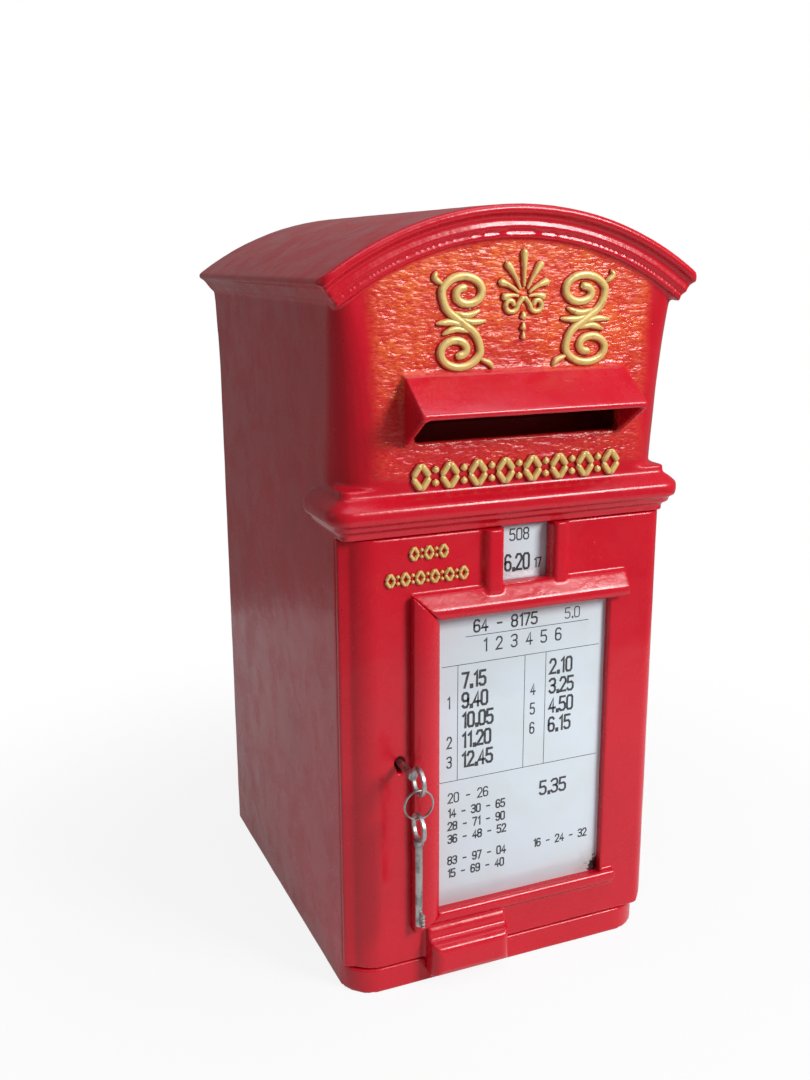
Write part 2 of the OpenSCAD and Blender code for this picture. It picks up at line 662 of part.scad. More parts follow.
module door_casting() {
    color([0.82, 0.1, 0.14]) at_front() difference() {
        union() {
            translate([0, 0, door_z0]) linear_extrude(door_z1 - door_z0) door_plan();
            // Backing behind the notice window.
            box([window_x0 - rebate - 1.5, door_t - 1, window_z - rebate - 6],
                [window_x1 + rebate + 6, plate_y + plate_t + backing_t, window_z1 + rebate + 6]);
            // Stiffening rim on the lock side, top and bottom.
            box([rim_x, door_t - 1, door_z0 + 8], [rim_x + rim_t, rim_y, door_z1 - 8]);
            for (z = [door_z0 + 8, tablet_z - 18]) box([rim_x, door_t - 1, z], [hinge_x - 14, rim_y - 4, z + 5]);
            // Top rail, bottom rail and mullions.
            difference() {
                union() {
                    translate([0, 0, window_z1]) along_x(strip_x0 + 1, window_x1 + 10) rail_section(frame_w);
                    translate([0, 0, window_z]) along_x(strip_x0 + 1, window_x1 + 10) sill_section();
                }
                along_y(-20, 0) strip_outline(0.8);
            }
            for (m = [[-14.5, 7.5], [34.5, 5.5]]) translate([m[0], 0.5, tablet_z - 2]) intersection() {
                cylinder(r = m[1], h = door_z1 - tablet_z + 2);
                box([-20, -m[1] + 1, 0], [20, 2, 60]);
            }
            pull_lug();
        }
        // Notice window: opening, rebate for the plate.
        box([window_x0 - 2, -1, window_z], [window_x1, plate_y, window_z1]);
        box([window_x0 - 2, -20, window_z + 2], [window_x1, 0.1, window_z1 + e]);
        box([window_x0 - rebate, plate_y - e, window_z - rebate], [window_x1 + rebate, plate_y + plate_t, window_z1 + rebate]);
        box([window_x0 + 12, plate_y, window_z + 12], [window_x1 - 12, 30, window_z1 - 12]);
        // Number window.
        box([tablet_x - tablet_w / 2, -20, tablet_z + 2], [tablet_x + tablet_w / 2, door_t + 1, door_z1 + 1]);
        // Keyhole.
        rod_y(key_x, key_z, -1, door_t + 1, shank_r + 1.4);
        box([key_x - 1.85, -1, key_z - bit_r - 0.6], [key_x + 1.85, door_t + 1, key_z]);
        // Way for the bolt through the rim.
        box([rim_x - 1, bolt_y - 0.3, bolt_z - 0.3], [rim_x + rim_t + 1, rim_y + 20, bolt_z + bolt_h + 0.3]);
        // Running bores of the hinge pins.
        translate([hinge_x, hinge_y, door_z0 - 1]) cylinder(r = hinge_pin_r + pin_play, h = pin_l + 1.5);
        translate([hinge_x, hinge_y, door_z1 - pin_l - 0.5]) cylinder(r = hinge_pin_r + pin_play, h = pin_l + 1.5);
        // Strip, holder and lock screw holes.
        for (z = strip_screw_z) screw_hole_y2(strip_x0 + frame_w / 2, z);
        for (x = holder_screw_x) rod_y(x, holder_screw_z, 3, door_t + 1, 1.6);
        for (q = lock_screw_xz) rod_y(q[0], q[1], 3, door_t + 1, 1.6);
        // Chamfered lower right corner.
        along_y(-1, 2 * barrel_r + 1) polygon([[half_w - 7, door_z0 - 1], [half_w + 1, door_z0 - 1],
            [half_w + 1, door_z0 + 13]]);
    }
}
strip_screw_z = [window_z + 12, window_z1 - 6];
module screw_hole_y2(x, z) {
    rod_y(x, z, -1, door_t + 8, 2.1);
    rod_y(x, z, door_t - 2, door_t + 10, 4.1);
}
holder_screw_x = [tablet_x - tablet_w / 2 - 11, tablet_x + tablet_w / 2 + 11];
holder_screw_z = tablet_z + 8;

module retaining_strip() {
    color([0.82, 0.1, 0.14]) at_front() difference() {
        union() {
            intersection() {
                translate([0, 0, window_z - 20]) linear_extrude(window_h + 50) strip_section();
                along_y(-20, 20) strip_outline(0);
            }
            // Tongue that holds the plate's edge.
            box([strip_x0 + frame_w - 4, -2, window_z + 3], [window_x0 + 0.7, -0.5, window_z1 - 3]);
            box([window_x0 - 1.7, -2, window_z + 3], [window_x0 + 0.7, plate_y - 0.2, window_z1 - 3]);
        }
        for (z = strip_screw_z) rod_y(strip_x0 + frame_w / 2, z, -4, 1, 1.9);
    }
}
module strip_screws() {
    color([0.6, 0.6, 0.6]) at_front() for (z = strip_screw_z) mirror([0, 1, 0]) {
        rod_y(strip_x0 + frame_w / 2, z, -door_t + 2, 3.5, 1.8);
        rod_y(strip_x0 + frame_w / 2, z, -door_t, -door_t + 2, 3.8);
    }
}
module notice_plate() {
    g = 0.4;
    color([0.88, 0.91, 0.93]) at_front() box([window_x0 - rebate + g, plate_y, window_z - rebate + g],
        [window_x1 + rebate - g, plate_y + plate_t - 0.02, window_z1 + rebate - g]);
}
module number_tablet() {
    color([0.88, 0.91, 0.93]) at_front() box([tablet_x - tablet_w / 2 - 4, tablet_y, tablet_z - 1],
        [tablet_x + tablet_w / 2 + 4, tablet_y + plate_t, door_z1 - 1]);
}
// Channel that guides the tablet: two lips, a foot and two ears.
module tablet_holder() {
    t = 1.5;
    w = tablet_w / 2 + 4 + fit;
    back = tablet_y + plate_t + fit;
    color([0.72, 0.6, 0.3]) at_front() difference() {
        union() {
            for (s = [-1, 1]) {
                box([tablet_x + min(s * w, s * (w + t)), door_t, tablet_z - 3],
                    [tablet_x + max(s * w, s * (w + t)), back + t, door_z1 - 4]);
                box([tablet_x + min(s * (w - 5), s * w), back, tablet_z - 3],
                    [tablet_x + max(s * (w - 5), s * w) , back + t, door_z1 - 4]);
                box([tablet_x + min(s * w, s * (w + 14)), door_t, tablet_z + 2],
                    [tablet_x + max(s * w, s * (w + 14)), door_t + t, tablet_z + 14]);
            }
            box([tablet_x - w - t, door_t, tablet_z - 1 - fit - t], [tablet_x + w + t, back + t, tablet_z - 1 - fit]);
        }
        for (x = holder_screw_x) rod_y(x, holder_screw_z, door_t - 1, door_t + 5, 1.6);
    }
}
module holder_screws() {
    color([0.6, 0.6, 0.6]) at_front() for (x = holder_screw_x) {
        rod_y(x, holder_screw_z, door_t - 4.5, door_t + 1.5, 1.5);
        rod_y(x, holder_screw_z, door_t + 1.5, door_t + 3.2, 2.8);
    }
}

// ---------- Lock ----------
lock_screw_xz = [for (x = [case_x0 + 3.5, case_x1 - 3.5], z = [case_z0 + 3.5, case_z1 - 3.5]) [x, z]];
module lock_case() {
    color([0.72, 0.58, 0.28]) at_front() difference() {
        union() {
            difference() {
                box([case_x0, lock_y + cap_t, case_z0], [case_x1, lock_y + lock_d, case_z1]);
                box([case_x0 + 2, lock_y, case_z0 + 2], [case_x1 - 2, plate_back, case_z1 - 2]);
            }
            for (q = lock_screw_xz) rod_y(q[0], q[1], lock_y + cap_t, plate_back + 1, 3.4);
        }
        // Mouth of the bolt, bearing of the curtain, seats of pivot and screws.
        box([case_x0 - 1, bolt_y - 0.3, bolt_z - 0.3], [case_x0 + 3, bolt_y + bolt_t + 0.3, bolt_z + bolt_h + 0.3]);
        rod_y(key_x, key_z, plate_back - 1, plate_back + 3, 4.05);
        rod_y(pivot_x, pivot_z, plate_back - 1, plate_back + 3, 1.52);
        for (q = lock_screw_xz) rod_y(q[0], q[1], lock_y, lock_y + lock_d + 1, 1.6);
    }
}
module lock_cap() {
    color([0.72, 0.58, 0.28]) at_front() difference() {
        box([case_x0, lock_y, case_z0], [case_x1, lock_y + cap_t - 0.02, case_z1]);
        rod_y(key_x, key_z, lock_y - 1, lock_y + 3, collar_r + 0.05);
        box([key_x - 1.85, lock_y - 1, key_z - bit_r - 0.6], [key_x + 1.85, lock_y + 3, key_z]);
        for (q = lock_screw_xz) rod_y(q[0], q[1], lock_y - 1, lock_y + 3, 1.6);
    }
}
module lock_screws() {
    color([0.6, 0.6, 0.6]) at_front() for (q = lock_screw_xz) {
        rod_y(q[0], q[1], lock_y - 4.5, lock_y + lock_d, 1.5);
        rod_y(q[0], q[1], lock_y + lock_d, lock_y + lock_d + 1.8, 2.8);
    }
}
// Three levers over the bolt, each with a belly that the key's bit lifts.
lever_y = lock_y + cap_t + 0.6;
module lock_levers() {
    color([0.75, 0.62, 0.3]) at_front() for (k = [0 : 2]) difference() {
        union() {
            rod_y(pivot_x, pivot_z, lever_y + k * 2, lever_y + k * 2 + lever_t, 5);
            box([key_x - 6, lever_y + k * 2, pivot_z - 5], [pivot_x, lever_y + k * 2 + lever_t, pivot_z + 5]);
            rod_y(key_x - 6, pivot_z, lever_y + k * 2, lever_y + k * 2 + lever_t, 5);
            rod_y(key_x, pivot_z - 3, lever_y + k * 2, lever_y + k * 2 + lever_t, 8);
        }
        rod_y(key_x, key_z, lever_y - 1, lever_y + 10, sweep_r + 0.3 * k);
        rod_y(pivot_x, pivot_z, lever_y - 1, lever_y + 10, 1.55);
        box([key_x - 6, lever_y - 1, pivot_z - 1], [key_x + 5, lever_y + 10, pivot_z + 2.5]);
    }
}
module lever_pivot() {
    color([0.55, 0.55, 0.55]) at_front() rod_y(pivot_x, pivot_z, lock_y + cap_t, lock_y + lock_d, 1.5);
}
// Leaf spring that presses the levers down.
module lever_spring() {
    y1 = lever_y + 4 + lever_t;
    color([0.4, 0.42, 0.46]) at_front() {
        box([key_x - 9, lever_y, pivot_z + 5.2], [pivot_x - 7, y1, pivot_z + 5.8]);
        box([pivot_x - 7.6, lever_y, pivot_z + 5.2], [pivot_x - 7, y1, case_z1 - 3.4]);
        box([pivot_x - 7.6, lever_y, case_z1 - 2.8], [pivot_x - 1, y1, case_z1 - 2.2]);
        box([pivot_x - 7.6, lever_y, case_z1 - 3.5], [pivot_x - 7, y1, case_z1 - 2.2]);
    }
}
// Bolt, drawn back: a thick head on a thin tail. Its underside is cut clear of the turning bit.
module lock_bolt() {
    x0 = rim_x;
    x1 = pivot_x - 4;
    color([0.75, 0.62, 0.3]) at_front() difference() {
        box([x0, bolt_y, bolt_z], [x1, bolt_y + bolt_t, bolt_z + bolt_h]);
        box([x0 + bolt_head, bolt_y + bolt_tail, bolt_z - 1], [x1 + 1, bolt_y + bolt_t + 1, bolt_z + bolt_h + 1]);
        for (x = [key_x, key_x + bolt_throw]) rod_y(x, key_z, bolt_y - 1, bolt_y + 10, sweep_r);
        box([key_x, bolt_y - 1, key_z], [key_x + bolt_throw, bolt_y + 10, key_z + sweep_r]);
    }
}
module lock_curtain() {
    color([0.7, 0.56, 0.28]) at_front() difference() {
        union() {
            rod_y(key_x, key_z, lock_y + cap_t + 0.3, plate_back - 0.3, curtain_r);
            rod_y(key_x, key_z, lock_y + 0.3, plate_back, collar_r);
            rod_y(key_x, key_z, plate_back - 1, plate_back + 2, 4);
        }
        rod_y(key_x, key_z, lock_y - 1, key_tip_y + 0.5, shank_r + 0.06);
        box([key_x - 1.3, lock_y - 1, key_z - 20], [key_x + 1.3, bit_y + bit_w + 0.5, key_z]);
    }
}

// ---------- Keys ----------
bit_w = 9;
bit_y = lock_y + 3.2;
key_tip_y = bit_y + bit_w + 2;
// A key along +Y from the centre of its bow, bit pointing down.
module key_blank(reach) {
    difference() {
        union() {
            rod_x(0, 0, -bow_t / 2, bow_t / 2, bow_r);
            rod_y(0, 0, bow_r - 1, bow_r + 2.5, shank_r + 0.8);
            rod_y(0, 0, bow_r - 1, reach, shank_r);
            difference() {
                box([-1, reach - 2 - bit_w, -bit_r], [1, reach - 2, 0]);
                for (k = [0 : 2]) box([-2, reach - bit_w + 0.2 + 2.6 * k, -bit_r - 1],
                    [2, reach - bit_w + 1.1 + 2.6 * k, -bit_r + 1.4 + 0.6 * k]);
            }
        }
        rod_x(0, 0, -bow_t, bow_t, bow_hole_r);
    }
}
module door_key() {
    color([0.6, 0.6, 0.58]) at_front() translate([key_x, bow_y, key_z]) key_blank(key_tip_y - bow_y);
}
module split_ring() {
    color([0.62, 0.62, 0.6]) at_front() translate([key_x, bow_y, ring_z]) rotate([90, 0, 0])
        rotate_extrude() translate([ring_mid, 0]) circle(r = wire_r, $fn = 24);
}
module spare_key() {
    color([0.6, 0.6, 0.58]) at_front() translate([key_x, bow_y, spare_z]) rotate([-90, 0, 0])
        key_blank(key_l - bow_r);
}

body_casting();
back_plate();
back_screws();
base_plate();
base_screws();
letter_baffle();
baffle_screws();
hinge_pin_upper();
hinge_pin_lower();
bolt_keeper();
keeper_screws();
door_casting();
retaining_strip();
strip_screws();
notice_plate();
number_tablet();
tablet_holder();
holder_screws();
lock_case();
lock_cap();
lock_screws();
lock_levers();
lever_pivot();
lever_spring();
lock_bolt();
lock_curtain();
door_key();
split_ring();
spare_key();
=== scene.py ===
import json
import math

import bpy
import bmesh
import numpy as np
from mathutils import Matrix, Vector, noise

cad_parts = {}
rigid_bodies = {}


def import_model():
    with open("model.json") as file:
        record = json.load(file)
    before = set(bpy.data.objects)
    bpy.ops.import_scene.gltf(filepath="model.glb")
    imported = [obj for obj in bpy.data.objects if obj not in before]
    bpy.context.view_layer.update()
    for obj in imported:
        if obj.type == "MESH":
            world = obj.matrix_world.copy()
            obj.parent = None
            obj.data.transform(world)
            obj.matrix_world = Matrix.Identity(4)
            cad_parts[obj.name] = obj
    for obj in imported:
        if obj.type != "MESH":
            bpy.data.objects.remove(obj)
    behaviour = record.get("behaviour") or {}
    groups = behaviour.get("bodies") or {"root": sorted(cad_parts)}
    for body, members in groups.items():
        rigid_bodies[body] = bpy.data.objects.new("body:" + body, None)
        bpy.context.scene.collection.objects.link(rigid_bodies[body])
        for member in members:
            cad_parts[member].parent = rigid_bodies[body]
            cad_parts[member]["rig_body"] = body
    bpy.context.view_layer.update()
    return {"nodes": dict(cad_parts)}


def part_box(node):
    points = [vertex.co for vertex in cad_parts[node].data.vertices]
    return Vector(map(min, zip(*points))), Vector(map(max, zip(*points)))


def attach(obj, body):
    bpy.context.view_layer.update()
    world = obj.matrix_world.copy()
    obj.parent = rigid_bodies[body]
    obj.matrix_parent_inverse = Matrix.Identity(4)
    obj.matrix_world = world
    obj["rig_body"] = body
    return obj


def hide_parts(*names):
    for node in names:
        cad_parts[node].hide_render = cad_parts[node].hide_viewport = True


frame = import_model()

bl_info = {
    "name": "Cast-iron letter box",
    "version": (1, 0, 0),
    "blender": (4, 5, 0),
    "location": "3D View > Sidebar > Letter box",
    "description": "Paint, gilt relief, enamel plates and keys for a cast-iron letter box",
    "category": "Object",
}

NODES = frame["nodes"]
SCENE = bpy.context.scene

# Places of the CAD part that the finishes follow, in metres
FRONT_Y = -0.141
ARCH_CENTRE = 0.294
FIELD_LOW = 0.346
FIELD_RADIUS = 0.1955
RELIEF_DEPTH = 0.003

# Gap that joins the doubled points of the CAD meshes
WELD = 1e-6
WHITE = (1.0, 1.0, 1.0, 1.0)

GROUPS = {}
MATERIALS = {}


# ---------------------------------------------------------------- sizes and colours
class LetterBoxPaint(bpy.types.PropertyGroup):
    """Paint over the iron castings."""
    front: bpy.props.FloatVectorProperty(
        name="Front paint", description="Gloss paint of the body and door",
        default=(0.57, 0.006, 0.019), size=3, subtype="COLOR", min=0.0, max=1.0)
    # Colour for random darker mottling, and for painted shade in the small pits and in the angles at the
    # foot of the gilt relief
    pool: bpy.props.FloatVectorProperty(
        name="Painted shade and mottle", description="Darker colour for random mottling and painted shade in pits and angles",
        default=(0.25, 0.003, 0.010), size=3, subtype="COLOR", min=0.0, max=1.0)
    inside: bpy.props.FloatVectorProperty(
        name="Inside paint", description="Thinner paint on the inner faces",
        default=(0.33, 0.012, 0.016), size=3, subtype="COLOR", min=0.0, max=1.0)
    body_voxel: bpy.props.FloatProperty(
        name="Body voxel", description="Mesh step of the rounded body casting",
        default=0.0012, unit="LENGTH", min=0.001, max=0.004)
    door_voxel: bpy.props.FloatProperty(
        name="Door voxel", description="Mesh step of the rounded door casting",
        default=0.0009, unit="LENGTH", min=0.0006, max=0.003)


class LetterBoxGilt(bpy.types.PropertyGroup):
    """Raised ornament picked out in gold paint."""
    gold: bpy.props.FloatVectorProperty(
        name="Gold paint", description="Colour of the gilded tops",
        default=(0.70, 0.50, 0.17), size=3, subtype="COLOR", min=0.0, max=1.0)
    width: bpy.props.FloatProperty(
        name="Stroke width", description="Width of the scroll strokes",
        default=0.0046, unit="LENGTH", min=0.003, max=0.008)
    height: bpy.props.FloatProperty(
        name="Relief height", description="How far the ornament stands out",
        default=0.0030, unit="LENGTH", min=0.001, max=0.005)


class LetterBoxPlates(bpy.types.PropertyGroup):
    """Enamelled notice plate and number tablet."""
    white: bpy.props.FloatVectorProperty(
        name="Enamel", description="Cool white vitreous enamel",
        default=(0.63, 0.70, 0.75), size=3, subtype="COLOR", min=0.0, max=1.0)
    ink: bpy.props.FloatVectorProperty(
        name="Numerals", description="Fired grey of the numerals and rules",
        default=(0.035, 0.038, 0.042), size=3, subtype="COLOR", min=0.0, max=1.0)
    numeral: bpy.props.FloatProperty(
        name="Numeral height", description="Height of the large numerals",
        default=0.0098, unit="LENGTH", min=0.006, max=0.014)
    rule: bpy.props.FloatProperty(
        name="Rule width", description="Width of the thin ruled lines",
        default=0.00045, unit="LENGTH", min=0.0002, max=0.001)


class LetterBoxKeys(bpy.types.PropertyGroup):
    """Keys and split ring."""
    steel: bpy.props.FloatVectorProperty(
        name="Key steel", description="Dull nickel-grey of the keys",
        default=(0.46, 0.45, 0.44), size=3, subtype="COLOR", min=0.0, max=1.0)
    voxel: bpy.props.FloatProperty(
        name="Key voxel", description="Mesh step of the rounded keys",
        default=0.00024, unit="LENGTH", min=0.0002, max=0.0006)


class LetterBoxStage(bpy.types.PropertyGroup):
    """Camera settings of the stage."""
    azimuth: bpy.props.FloatProperty(
        name="Camera azimuth", description="Direction of the camera round the box",
        default=math.radians(-23.0), subtype="ANGLE")
    elevation: bpy.props.FloatProperty(
        name="Camera elevation", description="Height angle of the camera",
        default=math.radians(13.9), subtype="ANGLE")
    roll: bpy.props.FloatProperty(
        name="Camera roll", description="Roll of the camera",
        default=math.radians(-0.27), subtype="ANGLE")
    lens: bpy.props.FloatProperty(
        name="Lens", description="Focal length on a sensor 36 mm high",
        default=38.23, unit="CAMERA", min=10.0, max=200.0)


# ---------------------------------------------------------------- small helpers
def mm(x, y, z):
    """Millimetres right of the middle, behind the front face and above the floor."""
    return Vector((x / 1000, y / 1000 + FRONT_Y, z / 1000))


def group_settings(name):
    return getattr(SCENE, "letter_box_" + name)


def add_object(name, mesh, material, body):
    obj = bpy.data.objects.new(name, mesh)
    SCENE.collection.objects.link(obj)
    mesh.materials.clear()
    mesh.materials.append(material)
    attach(obj, body)
    return obj


def smooth_faces(mesh, angle=None):
    mesh.polygons.foreach_set("use_smooth", [True] * len(mesh.polygons))
    if angle is not None:
        mesh.set_sharp_from_angle(angle=math.radians(angle))


def build_mesh(name, verts, faces):
    mesh = bpy.data.meshes.new(name)
    mesh.from_pydata(verts, [], faces)
    mesh.update()
    return mesh


def apply_modifiers(obj):
    """Replaces the mesh by the one its modifiers make."""
    graph = bpy.context.evaluated_depsgraph_get()
    mesh = bpy.data.meshes.new_from_object(obj.evaluated_get(graph))
    obj.modifiers.clear()
    old = obj.data
    obj.data = mesh
    bpy.data.meshes.remove(old)


def in_field(x, z):
    """How far points lie in the coarse cast ground of the upper front, 0 to 1."""
    side = np.clip((0.102 - np.abs(x)) / 0.012, 0, 1)
    low = np.clip((z - FIELD_LOW) / 0.006, 0, 1)
    high = np.clip((FIELD_RADIUS - 0.001 - np.hypot(x, z - ARCH_CENTRE)) / 0.004, 0, 1)
    return side * low * high


def cast_relief(mesh, wave, grain):
    """Moves the surface in and out: wave metres all over, grain metres more on the coarse ground."""
    count = len(mesh.vertices)
    co = np.empty(count * 3)
    mesh.vertices.foreach_get("co", co)
    co = co.reshape(-1, 3)
    normal = np.empty(count * 3)
    mesh.vertex_normals.foreach_get("vector", normal)
    normal = normal.reshape(-1, 3)
    lift = np.array([noise.noise(Vector(p) * 42.0) for p in co]) * wave
    if grain:
        flat = (np.abs(co[:, 1] - FRONT_Y) < RELIEF_DEPTH) & (normal[:, 1] < -0.6)
        near = np.where(flat, in_field(co[:, 0], co[:, 2]), 0.0)
        for k in np.nonzero(near)[0]:
            p = Vector((co[k, 0] * 120.0, co[k, 1] * 120.0, co[k, 2] * 230.0))
            lift[k] += near[k] * grain * noise.fractal(p, 0.8, 2.1, 3)
    co += normal * lift[:, None]
    mesh.vertices.foreach_set("co", co.ravel())
    mesh.update()


def soft_copy(node, name, voxel, rounds, ratio, material, wave=0.0, grain=0.0):
    """A copy of a CAD node with paint-rounded edges, standing in for it; ratio of its faces are kept."""
    mesh = NODES[node].data.copy()
    bm = bmesh.new()
    bm.from_mesh(mesh)
    bmesh.ops.remove_doubles(bm, verts=bm.verts, dist=WELD)
    bm.to_mesh(mesh)
    bm.free()
    obj = bpy.data.objects.new(name, mesh)
    SCENE.collection.objects.link(obj)
    remesh = obj.modifiers.new("remesh", "REMESH")
    remesh.mode = "VOXEL"
    remesh.voxel_size = voxel
    remesh.adaptivity = 0.0
    soft = obj.modifiers.new("soften", "SMOOTH")
    soft.factor = 0.5
    soft.iterations = rounds
    if wave:
        apply_modifiers(obj)
        cast_relief(obj.data, wave, grain)
    if ratio < 1.0:
        thin = obj.modifiers.new("thin", "DECIMATE")
        thin.ratio = ratio
    apply_modifiers(obj)
    obj.data.name = name
    obj.data.materials.clear()
    obj.data.materials.append(material)
    smooth_faces(obj.data)
    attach(obj, NODES[node]["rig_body"])
    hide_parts(node)


# ---------------------------------------------------------------- shader node helpers
def new_group(name, inputs, outputs):
    tree = bpy.data.node_groups.new(name, "ShaderNodeTree")
    for label, kind, value in inputs:
        socket = tree.interface.new_socket(name=label, in_out="INPUT", socket_type=kind)
        if value is not None:
            socket.default_value = value
    for label, kind in outputs:
        tree.interface.new_socket(name=label, in_out="OUTPUT", socket_type=kind)
    return tree, tree.nodes.new("NodeGroupInput"), tree.nodes.new("NodeGroupOutput")


def noise_node(tree, vector, scale, detail=3.0, rough=0.5):
    node = tree.nodes.new("ShaderNodeTexNoise")
    node.inputs["Detail"].default_value = detail
    node.inputs["Roughness"].default_value = rough
    tree.links.new(vector, node.inputs["Vector"])
    if hasattr(scale, "is_linked"):
        tree.links.new(scale, node.inputs["Scale"])
    else:
        node.inputs["Scale"].default_value = scale
    return node.outputs["Fac"]


def ramp_node(tree, value, low, high, out_low=0.0, out_high=1.0):
    node = tree.nodes.new("ShaderNodeMapRange")
    node.interpolation_type = "SMOOTHSTEP"
    node.inputs["From Min"].default_value = low
    node.inputs["From Max"].default_value = high
    node.inputs["To Min"].default_value = out_low
    node.inputs["To Max"].default_value = out_high
    tree.links.new(value, node.inputs["Value"])
    return node.outputs["Result"]


def math_node(tree, kind, a, b=None):
    node = tree.nodes.new("ShaderNodeMath")
    node.operation = kind
    for socket, value in zip(node.inputs, (a, b)):
        if hasattr(value, "is_linked"):
            tree.links.new(value, socket)
        elif value is not None:
            socket.default_value = value
    return node.outputs["Value"]


def multiply(tree, a, b):
    return math_node(tree, "MULTIPLY", a, b)


def add(tree, a, b):
    return math_node(tree, "ADD", a, b)


def subtract(tree, a, b):
    return math_node(tree, "SUBTRACT", a, b)


def mix_colour(tree, fac, a, b):
    """A mix of two colours, each a socket or an (r, g, b) value."""
    node = tree.nodes.new("ShaderNodeMix")
    node.data_type = "RGBA"
    for socket, value in ((node.inputs[0], fac), (node.inputs[6], a), (node.inputs[7], b)):
        if hasattr(value, "is_linked"):
            tree.links.new(value, socket)
        elif isinstance(value, (int, float)):
            socket.default_value = value
        else:
            socket.default_value = tuple(value) + (1.0,)
    return node.outputs[2]


def paint_surface_group():
    """Brush flow, orange peel, casting lumps and pits under thick gloss paint, with random darker
    mottling, painted shade in the pits and small lighter warm specks.
    """
    tree, source, sink = new_group(
        "Cast Paint Surface",
        (("Vector", "NodeSocketVector", None), ("Lump Scale", "NodeSocketFloat", 60.0),
         ("Peel Scale", "NodeSocketFloat", 330.0), ("Peel", "NodeSocketFloat", 0.3),
         ("Pit Scale", "NodeSocketFloat", 150.0), ("Pits", "NodeSocketFloat", 0.3)),
        (("Height", "NodeSocketFloat"), ("Mottle And Pit Shade", "NodeSocketFloat"),
         ("Sheen Break", "NodeSocketFloat"), ("Warm Speck", "NodeSocketFloat")))
    vec = source.outputs["Vector"]
    lumps = noise_node(tree, vec, source.outputs["Lump Scale"], 2.0, 0.45)
    peel = noise_node(tree, vec, source.outputs["Peel Scale"], 3.0, 0.55)
    peel_h = multiply(tree, peel, source.outputs["Peel"])
    cells = tree.nodes.new("ShaderNodeTexVoronoi")
    tree.links.new(vec, cells.inputs["Vector"])
    tree.links.new(source.outputs["Pit Scale"], cells.inputs["Scale"])
    pit = ramp_node(tree, cells.outputs["Distance"], 0.03, 0.16, 1.0, 0.0)
    where = ramp_node(tree, noise_node(tree, vec, 22.0, 2.0), 0.56, 0.68)
    pit = multiply(tree, pit, where)
    pit_h = multiply(tree, pit, source.outputs["Pits"])
    bumps = add(tree, multiply(tree, lumps, 0.9), peel_h)
    tree.links.new(subtract(tree, bumps, pit_h), sink.inputs["Height"])
    broad = ramp_node(tree, noise_node(tree, vec, 9.0, 4.0, 0.6), 0.38, 0.72)
    broad = multiply(tree, broad, 0.2)
    # Random darker mottling, and painted shade darkening the small pits
    pool = math_node(tree, "MAXIMUM", broad, multiply(tree, pit, 0.8))
    tree.links.new(pool, sink.inputs["Mottle And Pit Shade"])
    tree.links.new(noise_node(tree, vec, 40.0, 5.0, 0.65), sink.inputs["Sheen Break"])
    # Small lighter warm specks in patches
    speck = ramp_node(tree, noise_node(tree, vec, 560.0, 3.0, 0.6), 0.66, 0.70)
    patch = ramp_node(tree, noise_node(tree, vec, 31.0, 2.0), 0.60, 0.66)
    tree.links.new(multiply(tree, speck, patch), sink.inputs["Warm Speck"])
    return tree


